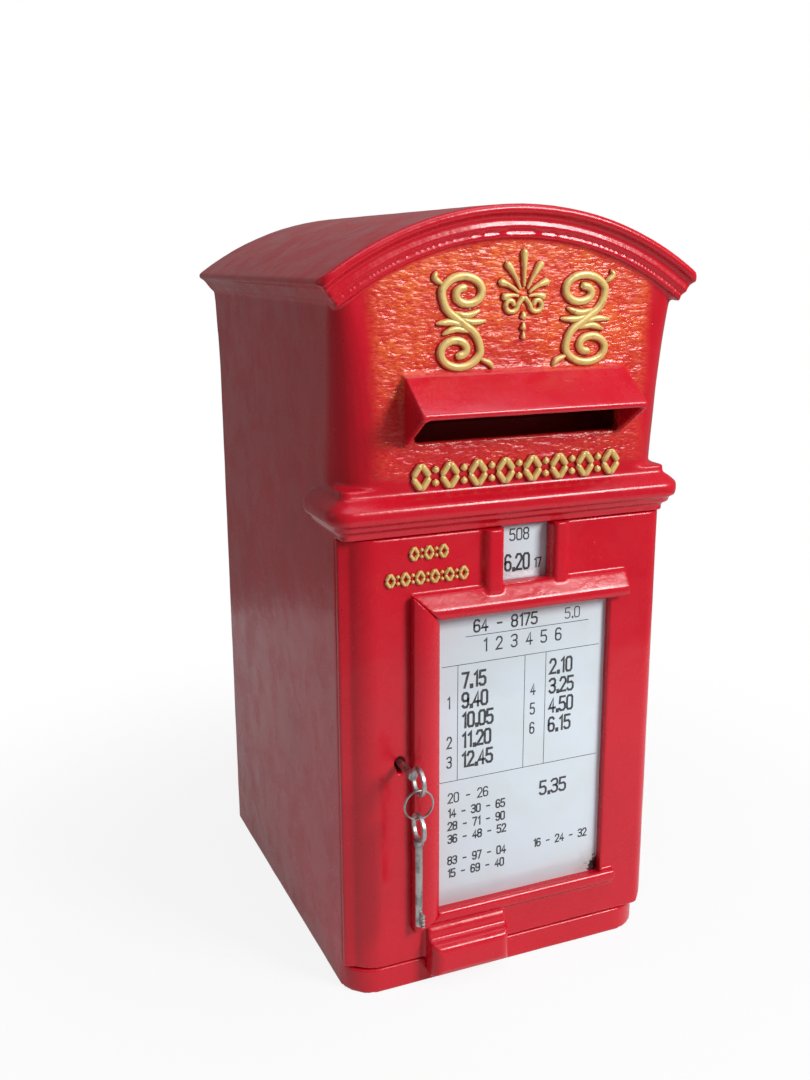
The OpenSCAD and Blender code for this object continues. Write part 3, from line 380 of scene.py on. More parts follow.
def rough_field_group():
    """The coarse cast ground of the upper front: its relief, its outline and its painted warm highlight
    flecks, denser towards the top.
    """
    tree, source, sink = new_group(
        "Rough Casting Field",
        (("Vector", "NodeSocketVector", None), ("Grain Scale", "NodeSocketFloat", 420.0),
         ("Low", "NodeSocketFloat", FIELD_LOW), ("Arch Centre", "NodeSocketFloat", ARCH_CENTRE),
         ("Arch Radius", "NodeSocketFloat", FIELD_RADIUS), ("Half Width", "NodeSocketFloat", 0.096)),
        (("Height", "NodeSocketFloat"), ("Mask", "NodeSocketFloat"), ("Painted Glint", "NodeSocketFloat")))
    vec = source.outputs["Vector"]
    split = tree.nodes.new("ShaderNodeSeparateXYZ")
    tree.links.new(vec, split.inputs[0])
    across, depth, rise = split.outputs["X"], split.outputs["Y"], split.outputs["Z"]
    front = ramp_node(tree, depth, FRONT_Y + RELIEF_DEPTH, FRONT_Y + 0.008, 1.0, 0.0)
    hood = ramp_node(tree, depth, FRONT_Y - 0.0045, FRONT_Y - 0.0020)
    front = multiply(tree, front, hood)
    edge = math_node(tree, "ABSOLUTE", across)
    wander = noise_node(tree, vec, 26.0, 2.0)
    edge = add(tree, edge, multiply(tree, wander, 0.014))
    side = subtract(tree, edge, source.outputs["Half Width"])
    side = ramp_node(tree, side, 0.0, 0.012, 1.0, 0.0)
    low = subtract(tree, rise, source.outputs["Low"])
    low = ramp_node(tree, low, 0.0, 0.006)
    up = subtract(tree, rise, source.outputs["Arch Centre"])
    up = math_node(tree, "POWER", up, 2.0)
    reach = add(tree, up, math_node(tree, "POWER", across, 2.0))
    reach = math_node(tree, "SQRT", reach)
    high = subtract(tree, reach, source.outputs["Arch Radius"])
    high = ramp_node(tree, high, -0.003, 0.001, 1.0, 0.0)
    mask = multiply(tree, front, side)
    mask = multiply(tree, mask, multiply(tree, low, high))
    stretch = tree.nodes.new("ShaderNodeMapping")
    stretch.inputs["Scale"].default_value = (0.5, 1.0, 1.3)
    tree.links.new(vec, stretch.inputs["Vector"])
    grain = noise_node(tree, stretch.outputs[0], source.outputs["Grain Scale"], 2.0, 0.6)
    coarse = noise_node(tree, stretch.outputs[0], 210.0, 2.0, 0.5)
    grain = multiply(tree, grain, 0.55)
    rough = add(tree, grain, multiply(tree, coarse, 0.9))
    tree.links.new(multiply(tree, rough, mask), sink.inputs["Height"])
    tree.links.new(mask, sink.inputs["Mask"])
    # Painted highlight: warm glints on the bumps, stronger towards the top of the field
    glint_towards_top = ramp_node(tree, rise, 0.37, 0.46, 0.22, 1.0)
    broad = ramp_node(tree, noise_node(tree, vec, 26.0, 2.0), 0.35, 0.65, 0.45, 1.0)
    glint_towards_top = multiply(tree, glint_towards_top, broad)
    fine = noise_node(tree, stretch.outputs[0], 640.0, 3.0, 0.6)
    fine = multiply(tree, fine, 0.7)
    glint_spots = add(tree, fine, multiply(tree, rough, 0.3))
    glint_spots = ramp_node(tree, glint_spots, 0.44, 0.66, 0.20, 1.0)
    painted_glint = multiply(tree, glint_spots, multiply(tree, mask, glint_towards_top))
    tree.links.new(painted_glint, sink.inputs["Painted Glint"])
    return tree


def metal_wear_group():
    """Fine scratches, handling stains and uneven roughness of small metal parts."""
    tree, source, sink = new_group(
        "Handled Metal",
        (("Vector", "NodeSocketVector", None), ("Scratch Scale", "NodeSocketFloat", 900.0),
         ("Stain Scale", "NodeSocketFloat", 120.0)),
        (("Height", "NodeSocketFloat"), ("Stain", "NodeSocketFloat"), ("Rough", "NodeSocketFloat")))
    vec = source.outputs["Vector"]
    long = tree.nodes.new("ShaderNodeMapping")
    long.inputs["Scale"].default_value = (1.0, 1.0, 0.08)
    tree.links.new(vec, long.inputs["Vector"])
    scratch = noise_node(tree, long.outputs[0], source.outputs["Scratch Scale"], 3.0, 0.7)
    stain = noise_node(tree, vec, source.outputs["Stain Scale"], 4.0, 0.6)
    tree.links.new(scratch, sink.inputs["Height"])
    tree.links.new(ramp_node(tree, stain, 0.42, 0.66), sink.inputs["Stain"])
    scratch = multiply(tree, scratch, 0.22)
    rough = add(tree, scratch, multiply(tree, stain, 0.30))
    tree.links.new(rough, sink.inputs["Rough"])
    return tree


def material_base(name):
    material = bpy.data.materials.new(name)
    material.use_nodes = True
    tree = material.node_tree
    shader = tree.nodes["Principled BSDF"]
    place = tree.nodes.new("ShaderNodeTexCoord")
    return material, tree, shader, place.outputs["Object"]


def use_group(tree, group, vector, values=()):
    node = tree.nodes.new("ShaderNodeGroup")
    node.node_tree = group
    tree.links.new(vector, node.inputs["Vector"])
    for label, value in values:
        node.inputs[label].default_value = value
    return node


def add_bump(tree, shader, height, distance, strength=1.0):
    bump = tree.nodes.new("ShaderNodeBump")
    bump.inputs["Distance"].default_value = distance
    bump.inputs["Strength"].default_value = strength
    tree.links.new(height, bump.inputs["Height"])
    tree.links.new(bump.outputs["Normal"], shader.inputs["Normal"])


def gloss_paint(name, colour, pool, peel, pits, field=False, rough=(0.16, 0.34)):
    """Thick gloss paint over cast iron, with painted shade in its pits; field adds the coarse ground of
    the upper front with its painted warm highlight flecks.
    """
    material, tree, shader, vec = material_base(name)
    surface = use_group(tree, GROUPS["paint"], vec, (("Peel", peel), ("Pits", pits)))
    # Darker where the paint mottles at random, and painted shade in the small pits
    tone = mix_colour(tree, surface.outputs["Mottle And Pit Shade"], colour, pool)
    # Small lighter warm specks
    warm_speck = (min(1.0, colour[0] * 1.3), 0.13, 0.07)
    tone = mix_colour(tree, surface.outputs["Warm Speck"], tone, warm_speck)
    height = surface.outputs["Height"]
    sheen = ramp_node(tree, surface.outputs["Sheen Break"], 0.3, 0.7, rough[0], rough[1])
    if field:
        ground = use_group(tree, GROUPS["field"], vec)
        # Painted highlight: warm orange glints on the coarse ground
        warm = (min(1.0, colour[0] * 1.45), 0.16, 0.032)
        tone = mix_colour(tree, ground.outputs["Painted Glint"], tone, warm)
        relief = multiply(tree, ground.outputs["Height"], 2.4)
        height = add(tree, height, relief)
    tree.links.new(tone, shader.inputs["Base Color"])
    tree.links.new(sheen, shader.inputs["Roughness"])
    shader.inputs["Coat Weight"].default_value = 0.16
    shader.inputs["Coat Roughness"].default_value = 0.10
    shader.inputs["Specular IOR Level"].default_value = 0.32
    add_bump(tree, shader, height, 0.00035)
    return material


def gilt_paint(name, gold, red, dark, height):
    """Gold paint on the raised tops, red below, and painted shade darkening the angle at the foot."""
    material, tree, shader, vec = material_base(name)
    values = (("Peel", 0.5), ("Pits", 0.7), ("Pit Scale", 420.0))
    surface = use_group(tree, GROUPS["paint"], vec, values)
    split = tree.nodes.new("ShaderNodeSeparateXYZ")
    tree.links.new(vec, split.inputs[0])
    ragged = multiply(tree, noise_node(tree, vec, 380.0, 3.0), 0.0009)
    level = subtract(tree, split.outputs["Y"], ragged)
    top = ramp_node(tree, level, FRONT_Y - height * 0.62, FRONT_Y - height * 0.46, 1.0, 0.0)
    # Painted shade: the lower sides darken towards the ground, in the angle where the relief meets the
    # casting
    foot = ramp_node(tree, level, FRONT_Y - height * 0.45, FRONT_Y - height * 0.1, 0.0, 1.0)
    side = mix_colour(tree, foot, red, dark)
    rubbed = ramp_node(tree, noise_node(tree, vec, 210.0, 4.0), 0.55, 0.75)
    worn = mix_colour(tree, rubbed, gold, tuple(c * 0.62 for c in gold))
    tree.links.new(mix_colour(tree, top, side, worn), shader.inputs["Base Color"])
    tree.links.new(multiply(tree, top, 0.15), shader.inputs["Metallic"])
    sheen = ramp_node(tree, surface.outputs["Sheen Break"], 0.3, 0.7, 0.24, 0.42)
    tree.links.new(sheen, shader.inputs["Roughness"])
    add_bump(tree, shader, surface.outputs["Height"], 0.00025)
    return material


def enamel(name, white, warm, chip):
    """Vitreous enamel, very smooth, faintly uneven, with one chipped corner."""
    material, tree, shader, vec = material_base(name)
    cloud = ramp_node(tree, noise_node(tree, vec, 30.0, 3.0), 0.35, 0.7)
    away = tree.nodes.new("ShaderNodeVectorMath")
    away.operation = "DISTANCE"
    tree.links.new(vec, away.inputs[0])
    away.inputs[1].default_value = chip
    ragged = multiply(tree, noise_node(tree, vec, 260.0, 4.0, 0.7), 0.020)
    torn = add(tree, away.outputs["Value"], ragged)
    bare = ramp_node(tree, torn, 0.0175, 0.0190, 1.0, 0.0)
    stain = ramp_node(tree, torn, 0.018, 0.034, 0.5, 0.0)
    tone = mix_colour(tree, cloud, white, warm)
    tone = mix_colour(tree, stain, tone, (0.42, 0.38, 0.33))
    tone = mix_colour(tree, bare, tone, (0.035, 0.030, 0.032))
    tree.links.new(tone, shader.inputs["Base Color"])
    sheen = ramp_node(tree, noise_node(tree, vec, 55.0, 4.0), 0.3, 0.7, 0.10, 0.22)
    tree.links.new(sheen, shader.inputs["Roughness"])
    shader.inputs["Coat Weight"].default_value = 0.6
    shader.inputs["Coat Roughness"].default_value = 0.04
    add_bump(tree, shader, noise_node(tree, vec, 70.0, 2.0), 0.00012)
    return material


def fired_ink(name, ink):
    """Fired grey pigment, a little thin in places."""
    material, tree, shader, vec = material_base(name)
    thin = ramp_node(tree, noise_node(tree, vec, 480.0, 3.0), 0.45, 0.75, 0.0, 0.5)
    tone = mix_colour(tree, thin, ink, tuple(c * 4.0 for c in ink))
    tree.links.new(tone, shader.inputs["Base Color"])
    sheen = ramp_node(tree, noise_node(tree, vec, 90.0), 0.3, 0.7, 0.22, 0.4)
    tree.links.new(sheen, shader.inputs["Roughness"])
    return material


def handled_metal(name, colour, dark, low, scratch=900.0, bump=0.00005):
    """Plain metal with stains and scratches from handling."""
    material, tree, shader, vec = material_base(name)
    wear = use_group(tree, GROUPS["metal"], vec, (("Scratch Scale", scratch),))
    tree.links.new(mix_colour(tree, wear.outputs["Stain"], colour, dark), shader.inputs["Base Color"])
    tree.links.new(add(tree, wear.outputs["Rough"], low), shader.inputs["Roughness"])
    shader.inputs["Metallic"].default_value = 1.0
    add_bump(tree, shader, wear.outputs["Height"], bump)
    return material


def make_materials():
    GROUPS["paint"] = paint_surface_group()
    GROUPS["field"] = rough_field_group()
    GROUPS["metal"] = metal_wear_group()
    paint = group_settings("paint")
    gilt = group_settings("gilt")
    plates = group_settings("plates")
    keys = group_settings("keys")
    front = tuple(paint.front)
    pool = tuple(paint.pool)
    MATERIALS["body"] = gloss_paint("Body gloss paint", front, pool, 0.35, 0.5, field=True)
    MATERIALS["door"] = gloss_paint("Door gloss paint", front, pool, 0.28, 0.35)
    inside = tuple(paint.inside)
    MATERIALS["inner"] = gloss_paint("Inside paint", inside, pool, 0.5, 0.6, rough=(0.3, 0.5))
    gold = tuple(gilt.gold)
    MATERIALS["gilt"] = gilt_paint("Gilt relief", gold, front, pool, gilt.height)
    white = tuple(plates.white)
    warm = (white[0] * 0.97, white[1] * 0.97, white[2] * 0.94)
    chipped_corner = (0.077, FRONT_Y + 0.004, 0.0535)
    MATERIALS["enamel"] = enamel("White enamel", white, warm, chipped_corner)
    MATERIALS["ink"] = fired_ink("Fired grey", tuple(plates.ink))
    MATERIALS["key"] = handled_metal("Key steel", tuple(keys.steel), (0.20, 0.19, 0.18), 0.16)
    for key, name, colour, dark, low, scratch in (
            ("steel", "Screw steel", (0.42, 0.41, 0.40), (0.16, 0.15, 0.14), 0.18, 900.0),
            ("brass", "Lock brass", (0.52, 0.37, 0.13), (0.24, 0.16, 0.06), 0.20, 500.0),
            ("zinc", "Zinc sheet", (0.40, 0.41, 0.42), (0.24, 0.24, 0.24), 0.30, 160.0),
            ("spring", "Blue spring steel", (0.16, 0.19, 0.26), (0.07, 0.08, 0.11), 0.12, 900.0)):
        MATERIALS[key] = handled_metal(name, colour, dark, low, scratch)
    MATERIALS["gilt_door"] = gilt_paint("Door gilt relief", gold, front, pool, gilt.height * 0.7)


# ---------------------------------------------------------------- ornament strokes
def spline_points(points, step):
    """Even points along a smooth curve through the given ones."""
    pts = [Vector(p) for p in points]
    pts = [pts[0] * 2 - pts[1]] + pts + [pts[-1] * 2 - pts[-2]]
    fine = []
    for a, b, c, d in zip(pts, pts[1:], pts[2:], pts[3:]):
        for k in range(12):
            t = k / 12
            fine.append(0.5 * ((2 * b) + (c - a) * t + (2 * a - 5 * b + 4 * c - d) * t ** 2
                               + (3 * b - a - 3 * c + d) * t ** 3))
    fine.append(pts[-2])
    run = np.array([tuple(p) for p in fine])
    length = np.concatenate([[0], np.cumsum(np.linalg.norm(np.diff(run, axis=0), axis=1))])
    count = max(6, int(length[-1] / step))
    at = np.linspace(0, length[-1], count)
    return np.stack([np.interp(at, length, run[:, k]) for k in range(2)], 1), at


def add_stroke(verts, faces, points, width, height, widths=None, step=0.9, straight=False, skirt=0.9):
    """A raised stroke with a rounded top along points in millimetres on the front face."""
    if straight:
        run = np.array(points, float)
        length = np.concatenate([[0], np.cumsum(np.linalg.norm(np.diff(run, axis=0), axis=1))])
        at = np.linspace(0, length[-1], max(5, int(length[-1] / step)))
        path = np.stack([np.interp(at, length, run[:, k]) for k in range(2)], 1)
    else:
        path, at = spline_points(points, step)
    total = at[-1]
    along = np.gradient(path, axis=0)
    along /= np.maximum(np.linalg.norm(along, axis=1), 1e-9)[:, None]
    across = np.stack([-along[:, 1], along[:, 0]], 1)
    arc = [math.pi * k / 8 for k in range(9)]
    base = len(verts)
    for i, p in enumerate(path):
        w = width if widths is None else width * np.interp(at[i] / total, *widths)
        reach = min(at[i], total - at[i])
        cap = math.sqrt(max(0.0, 1 - max(0.0, 1 - reach / (0.5 * w)) ** 2))
        cap = max(cap, 0.12)
        tall = height * min(1.0, w / width + 0.25) * cap ** 0.5
        wide = 0.5 * w * cap
        ring = [(wide * math.cos(a), tall * (0.42 + 0.58 * math.sin(a) ** 0.6)) for a in arc]
        foot = skirt * min(1.0, cap + 0.3)
        ring = [(wide + foot, -0.6), (wide + foot * 0.8, 0.26 * tall)] + ring
        ring += [(-wide - foot * 0.8, 0.26 * tall), (-wide - foot, -0.6)]
        for off, out in ring:
            q = p + across[i] * off
            verts.append(mm(q[0], -out, q[1]))
    sides = len(arc) + 4
    for i in range(len(path) - 1):
        for k in range(sides - 1):
            a = base + i * sides + k
            faces.append((a, a + 1, a + sides + 1, a + sides))
    faces.append(tuple(base + k for k in range(sides)))
    last = base + (len(path) - 1) * sides
    faces.append(tuple(last + k for k in reversed(range(sides))))


def spiral(centre, turns, r0, r1, start, turn):
    """Points of a spiral growing outwards, ending at the angle start."""
    pts = []
    count = int(14 * turns)
    for k in range(count + 1):
        t = k / count
        a = start - turn * 2 * math.pi * turns * (1 - t)
        r = r0 + (r1 - r0) * t
        pts.append((centre[0] + r * math.cos(a), centre[1] + r * math.sin(a)))
    return pts


# Width along a stroke: places from 0 to 1, and the share of the full width there
LEAF = ([0, 0.25, 0.6, 1.0], [0.35, 0.75, 1.0, 0.45])
PETAL = ([0, 0.5, 0.85, 1.0], [0.45, 0.7, 1.25, 0.9])


def add_scroll(verts, faces, centre, side, width, height, spread=1.0):
    """An S-scroll with leaves; side 1 or -1 mirrors it."""
    def place(points):
        return [(centre[0] + side * spread * x, centre[1] + z) for x, z in points]
    upper = spiral((2.0, 17.0), 1.3, 2.4, 11.5, math.pi, 1)
    lower = [(-x, -z) for x, z in reversed(upper)]
    waist = [(-7.0, 7.5), (0.0, 0.0), (7.0, -7.5)]
    add_stroke(verts, faces, place(upper + waist + lower), width, height)
    for pts, scale in (
            (((-4.0, 6.0), (3.0, 4.0), (9.5, 7.0)), 0.85),
            (((-1.5, 2.5), (5.0, 0.0), (12.5, 0.5)), 0.85),
            (((4.0, -6.0), (-3.0, -4.0), (-9.5, -7.0)), 0.85),
            (((1.5, -2.5), (-5.0, 0.0), (-12.5, -0.5)), 0.85),
            (((-9.0, 22.0), (-13.0, 26.0), (-12.0, 30.0)), 0.8),
            (((9.0, -22.0), (14.0, -25.0), (16.0, -29.0)), 0.8)):
        add_stroke(verts, faces, place(pts), width * scale, height, LEAF)


def add_palmette(verts, faces, centre, width, height):
    """A fan of seven petals over two small curls."""
    cx, cz = centre
    for k, reach in zip(range(-3, 4), (15, 20, 25, 29, 25, 20, 15)):
        a = math.radians(90 - 24 * k)
        pts = []
        for t in (0.22, 0.5, 0.8, 1.0):
            b = a - math.radians(0.22 * k * 30 * t * t)
            pts.append((cx + reach * t * math.cos(b), cz + 4 + reach * t * math.sin(b)))
        add_stroke(verts, faces, pts, width * 0.78, height, PETAL, 0.6)
    for s in (-1, 1):
        turns = spiral((9.0, 0.0), 1.1, 1.4, 5.0, math.pi, -1)
        curl = [(cx + s * x, cz + z) for x, z in turns] + [(cx, cz + 5.0)]
        add_stroke(verts, faces, curl, width * 0.62, height * 0.9, None, 0.5)
    for z, w in ((-6.5, 0.95), (-13.0, 0.8), (-18.5, 0.6)):
        pts = ((cx, cz + z + 2.6), (cx, cz + z), (cx, cz + z - 2.6))
        add_stroke(verts, faces, pts, width * w, height * 0.9, PETAL, 0.5)


def add_lozenge_row(verts, faces, x0, x1, z0, z1, count, width, height):
    """A row of open lozenges with beads between them."""
    pitch = (x1 - x0) / count
    zc = (z0 + z1) / 2
    half_h = (z1 - z0 - width) / 2
    half_l = min(pitch * 0.30, half_h * 0.9)
    skirt = width * 0.2
    for k in range(count):
        xc = x0 + pitch * (k + 0.5)
        for sx in (-1, 1):
            for sz in (-1, 1):
                pts = ((xc, zc + sz * half_h), (xc + sx * half_l, zc))
                add_stroke(verts, faces, pts, width, height, None, width * 0.25, True, skirt)
        if k:
            xb = x0 + pitch * k
            for zb in (zc - half_h * 0.5, zc + half_h * 0.5):
                pts = ((xb, zb - width * 0.62), (xb, zb), (xb, zb + width * 0.62))
                add_stroke(verts, faces, pts, width * 1.15, height, None, width * 0.2, False, skirt)


def make_gilt():
    gilt = group_settings("gilt")
    w = gilt.width * 1000
    h = gilt.height * 1000
    verts, faces = [], []
    add_scroll(verts, faces, (-38.0, 441.5), 1, w, h, 1.35)
    add_scroll(verts, faces, (48.0, 441.5), -1, w, h, 1.45)
    add_palmette(verts, faces, (4.0, 451.0), w, h)
    add_lozenge_row(verts, faces, -74.0, 80.0, 339.4, 359.4, 8, 3.7, h)
    mesh = build_mesh("gilt_relief", verts, faces)
    smooth_faces(mesh)
    add_object("gilt_relief", mesh, MATERIALS["gilt"], "carcase")
    verts, faces = [], []
    add_lozenge_row(verts, faces, -74.0, -44.0, 296.4, 307.0, 3, 1.9, h * 0.75)
    add_lozenge_row(verts, faces, -90.0, -30.0, 280.8, 291.4, 6, 1.9, h * 0.75)
    mesh = build_mesh("door_gilt_relief", verts, faces)
    smooth_faces(mesh)
    add_object("door_gilt_relief", mesh, MATERIALS["gilt_door"], "door")


# ---------------------------------------------------------------- enamel plates
# Strokes of each numeral, 0.7 wide and 1.8 high
DIGITS = {
    "0": [[(0.15, 0), (0, 0.25), (0, 1.55), (0.15, 1.8), (0.55, 1.8), (0.7, 1.55), (0.7, 0.25),
           (0.55, 0), (0.15, 0)]],
    "1": [[(0.12, 1.5), (0.38, 1.8), (0.38, 0)]],
    "2": [[(0, 1.45), (0.15, 1.8), (0.55, 1.8), (0.7, 1.5), (0.7, 1.15), (0, 0.0), (0.7, 0)]],
    "3": [[(0, 1.6), (0.2, 1.8), (0.55, 1.8), (0.7, 1.55), (0.7, 1.15), (0.5, 0.95), (0.25, 0.95)],
          [(0.5, 0.95), (0.7, 0.7), (0.7, 0.25), (0.5, 0), (0.15, 0), (0, 0.25)]],
    "4": [[(0.52, 0), (0.52, 1.8), (0, 0.5), (0.75, 0.5)]],
    "5": [[(0.65, 1.8), (0.05, 1.8), (0.0, 1.0), (0.5, 1.05), (0.7, 0.8), (0.7, 0.25),
           (0.52, 0), (0.15, 0), (0, 0.2)]],
    "6": [[(0.65, 1.6), (0.5, 1.8), (0.18, 1.8), (0, 1.5), (0, 0.25), (0.18, 0),
           (0.52, 0), (0.7, 0.25), (0.7, 0.75), (0.52, 1.0), (0.15, 1.0), (0, 0.8)]],
    "7": [[(0, 1.8), (0.7, 1.8), (0.25, 0)]],
    "8": [[(0.18, 0.95), (0, 1.2), (0, 1.55), (0.18, 1.8), (0.52, 1.8), (0.7, 1.55),
           (0.7, 1.2), (0.52, 0.95), (0.18, 0.95), (0, 0.7), (0, 0.25), (0.18, 0),
           (0.52, 0), (0.7, 0.25), (0.7, 0.7), (0.52, 0.95)]],
    "9": [[(0.05, 0.2), (0.2, 0), (0.52, 0), (0.7, 0.3), (0.7, 1.55), (0.52, 1.8),
           (0.18, 1.8), (0, 1.55), (0, 1.05), (0.18, 0.8), (0.55, 0.8), (0.7, 1.0)]],
    ".": [[(0.12, 0), (0.12, 0.12)]],
    "-": [[(0.1, 0.9), (0.6, 0.9)]],
}


def add_flat_line(verts, faces, points, width, y):
    """A flat painted line through points in millimetres, mitred at its corners."""
    pts = [Vector(p) for p in points]
    closed = (pts[0] - pts[-1]).length < 1e-6
    base = len(verts)
    for i, p in enumerate(pts):
        before = pts[i] - pts[i - 1] if i else (pts[0] - pts[-2] if closed else pts[1] - pts[0])
        after = pts[i + 1] - pts[i] if i < len(pts) - 1 else (pts[1] - pts[0] if closed else before)
        n0 = Vector((-before.y, before.x)).normalized()
        n1 = Vector((-after.y, after.x)).normalized()
        n = n0 + n1
        n = n / max(0.35, n.length_squared / 2)
        shift = Vector((0, 0))
        if not closed and i == 0:
            shift = -after.normalized() * width * 0.5
        if not closed and i == len(pts) - 1:
            shift = before.normalized() * width * 0.5
        for s in (-0.5, 0.5):
            q = p + n * width * s + shift
            verts.append(mm(q.x, y, q.y))
    for i in range(len(pts) - 1):
        a = base + 2 * i
        faces.append((a, a + 2, a + 3, a + 1))


def add_number(verts, faces, text, x, z, height, y, weight=0.19, spread=1.0):
    """Condensed numerals, left edge x and foot z in millimetres."""
    k = height / 1.8
    for ch in text:
        for line in DIGITS.get(ch, ()):
            pts = [(x + px * k * spread, z + pz * k) for px, pz in line]
            add_flat_line(verts, faces, pts, weight * k * (1.5 if ch == "." else 1.0), y)
        x += k * spread * (0.42 if ch in ".1" else 0.98) + (0.0 if ch != "1" else 0.32 * k)


def add_rule(verts, faces, x0, z0, x1, z1, width, y):
    add_flat_line(verts, faces, ((x0, z0), (x1, z1)), width, y)


def enamel_plate(node, name, body):
    """The plate with rounded edges, standing in for its CAD node."""
    lo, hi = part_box(node)
    bm = bmesh.new()
    bmesh.ops.create_cube(bm, size=1.0)
    for v in bm.verts:
        v.co = Vector((lo[k] + (v.co[k] + 0.5) * (hi[k] - lo[k]) for k in range(3)))
    bmesh.ops.bevel(bm, geom=bm.edges, offset=0.0006, segments=3, affect="EDGES", profile=0.5)
    mesh = bpy.data.meshes.new(name)
    bm.to_mesh(mesh)
    bm.free()
    smooth_faces(mesh, 40)
    obj = add_object(name, mesh, MATERIALS["enamel"], body)
    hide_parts(node)


def print_face(node):
    """Depth in millimetres at which the numerals lie just in front of a plate."""
    return (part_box(node)[0].y - FRONT_Y) * 1000 - 0.03


def print_notice(big, rule):
    """Generic numbers and ruled lines of the notice plate."""
    y = print_face("notice_plate")
    verts, faces = [], []
    add_number(verts, faces, "64 - 8175", -24.0, 243.2, 7.8, y, 0.30, 1.3)
    add_number(verts, faces, "5.0", 44.0, 243.6, 7.2, y, 0.20, 1.3)
    add_rule(verts, faces, -30.0, 240.6, 62.0, 240.6, rule, y)
    add_number(verts, faces, "1 2 3 4 5 6", -17.0, 229.2, 8.2, y, 0.24, 1.25)
    top, foot = 222.0, 141.0
    add_rule(verts, faces, -47.0, top, 71.0, top, rule, y)
    for x in (-35.5, 14.0, 30.0):
        add_rule(verts, faces, x, top, x, foot, rule, y)
    add_rule(verts, faces, -50.0, foot, 72.0, foot, rule, y)
    small = big * 0.78
    for z, left_row, left, right_row, right in (
            (210.0, "", "7.15", "", "2.10"),
            (196.0, "1", "9.40", "4", "3.25"),
            (182.0, "", "10.05", "5", "4.50"),
            (168.0, "2", "11.20", "6", "6.15"),
            (154.0, "3", "12.45", "", "")):
        add_number(verts, faces, left_row, -43.0, z - 3.0, small, y, 0.25)
        add_number(verts, faces, left, -32.0, z - 4.0, big, y, 0.33, 1.08)
        add_number(verts, faces, right_row, 19.0, z - 3.0, small, y, 0.25)
        add_number(verts, faces, right, 33.5, z - 4.0, big, y, 0.30, 1.08)
    for x, z, text, tall, weight in (
            (-42.0, 125.5, "20 - 26", 6.6, 0.26),
            (-42.0, 115.0, "14 - 30 - 65", 5.6, 0.36),
            (-42.0, 105.5, "28 - 71 - 90", 5.6, 0.36),
            (-42.0, 96.0, "36 - 48 - 52", 5.6, 0.36),
            (-42.0, 80.0, "83 - 97 - 04", 5.6, 0.36),
            (-42.0, 70.5, "15 - 69 - 40", 5.6, 0.36),
            (28.0, 118.0, "5.35", 9.6, 0.30),
            (24.0, 79.0, "16 - 24 - 32", 5.6, 0.34)):
        add_number(verts, faces, text, x, z, tall, y, weight, 1.22)
    mesh = build_mesh("plate_numerals", verts, faces)
    add_object("plate_numerals", mesh, MATERIALS["ink"], "door")


def print_tablet():
    """Generic numbers of the number tablet."""
    y = print_face("number_tablet")
    verts, faces = [], []
    add_number(verts, faces, "508", 2.5, 301.0, 7.4, y, 0.24, 1.25)
    add_number(verts, faces, "6.20", -0.6, 281.0, 10.2, y, 0.28)
    add_number(verts, faces, "17", 21.0, 281.3, 6.0, y, 0.32)
    mesh = build_mesh("tablet_numerals", verts, faces)
    add_object("tablet_numerals", mesh, MATERIALS["ink"], "tablet")


def make_plates():
    plates = group_settings("plates")
    enamel_plate("notice_plate", "notice_plate_enamel", "door")
    enamel_plate("number_tablet", "number_tablet_enamel", "tablet")
    print_notice(plates.numeral * 1000, plates.rule * 1000)
    print_tablet()


# ---------------------------------------------------------------- keys and fasteners
RING_WIRE = 0.00058
RING_TURNS = 2
RING_STEPS = 64
WIRE_SIDES = 10


def wind_ring():
    """The split ring as one wire wound twice, standing in for the plain CAD ring."""
    lo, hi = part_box("split_ring")
    centre = (lo + hi) / 2
    radius = (hi.x - lo.x) / 2 - 0.0009
    last = RING_TURNS * RING_STEPS
    verts, faces = [], []
    for k in range(last + 1):
        a = 2 * math.pi * k / RING_STEPS - math.pi * 0.42
        y = (k / last - 0.5) * 4 * RING_WIRE * 0.55
        ring_c = centre + Vector((radius * math.cos(a), y, radius * math.sin(a)))
        outward = Vector((math.cos(a), 0, math.sin(a)))
        for j in range(WIRE_SIDES):
            b = 2 * math.pi * j / WIRE_SIDES
            out = outward * RING_WIRE * math.cos(b)
            verts.append(ring_c + out + Vector((0, 1, 0)) * RING_WIRE * math.sin(b))
    for k in range(last):
        for j in range(WIRE_SIDES):
            a = k * WIRE_SIDES + j
            b = k * WIRE_SIDES + (j + 1) % WIRE_SIDES
            faces.append((a, b, b + WIRE_SIDES, a + WIRE_SIDES))
    faces.append(tuple(reversed(range(WIRE_SIDES))))
    faces.append(tuple(last * WIRE_SIDES + j for j in range(WIRE_SIDES)))
    mesh = build_mesh("split_ring_coil", verts, faces)
    smooth_faces(mesh, 50)
    ring = add_object("split_ring_coil", mesh, MATERIALS["key"], "ring")
    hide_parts("split_ring")


def make_keys():
    voxel = group_settings("keys").voxel
    for node in ("door_key", "spare_key"):
        soft_copy(node, node + "_soft", voxel, 3, 0.6, MATERIALS["key"])
    wind_ring()


def islands(mesh):
    """Loose parts of a mesh, each as an array of its points."""
    bm = bmesh.new()
    bm.from_mesh(mesh)
    bmesh.ops.remove_doubles(bm, verts=bm.verts, dist=WELD)
    seen = set()
    parts = []
    for start in bm.verts:
        if start in seen:
            continue
        stack = [start]
        seen.add(start)
        part = []
        while stack:
            v = stack.pop()
            part.append(tuple(v.co))
            for edge in v.link_edges:
                other = edge.other_vert(v)
                if other not in seen:
                    seen.add(other)
                    stack.append(other)
        parts.append(np.array(part))
    bm.free()
    return parts


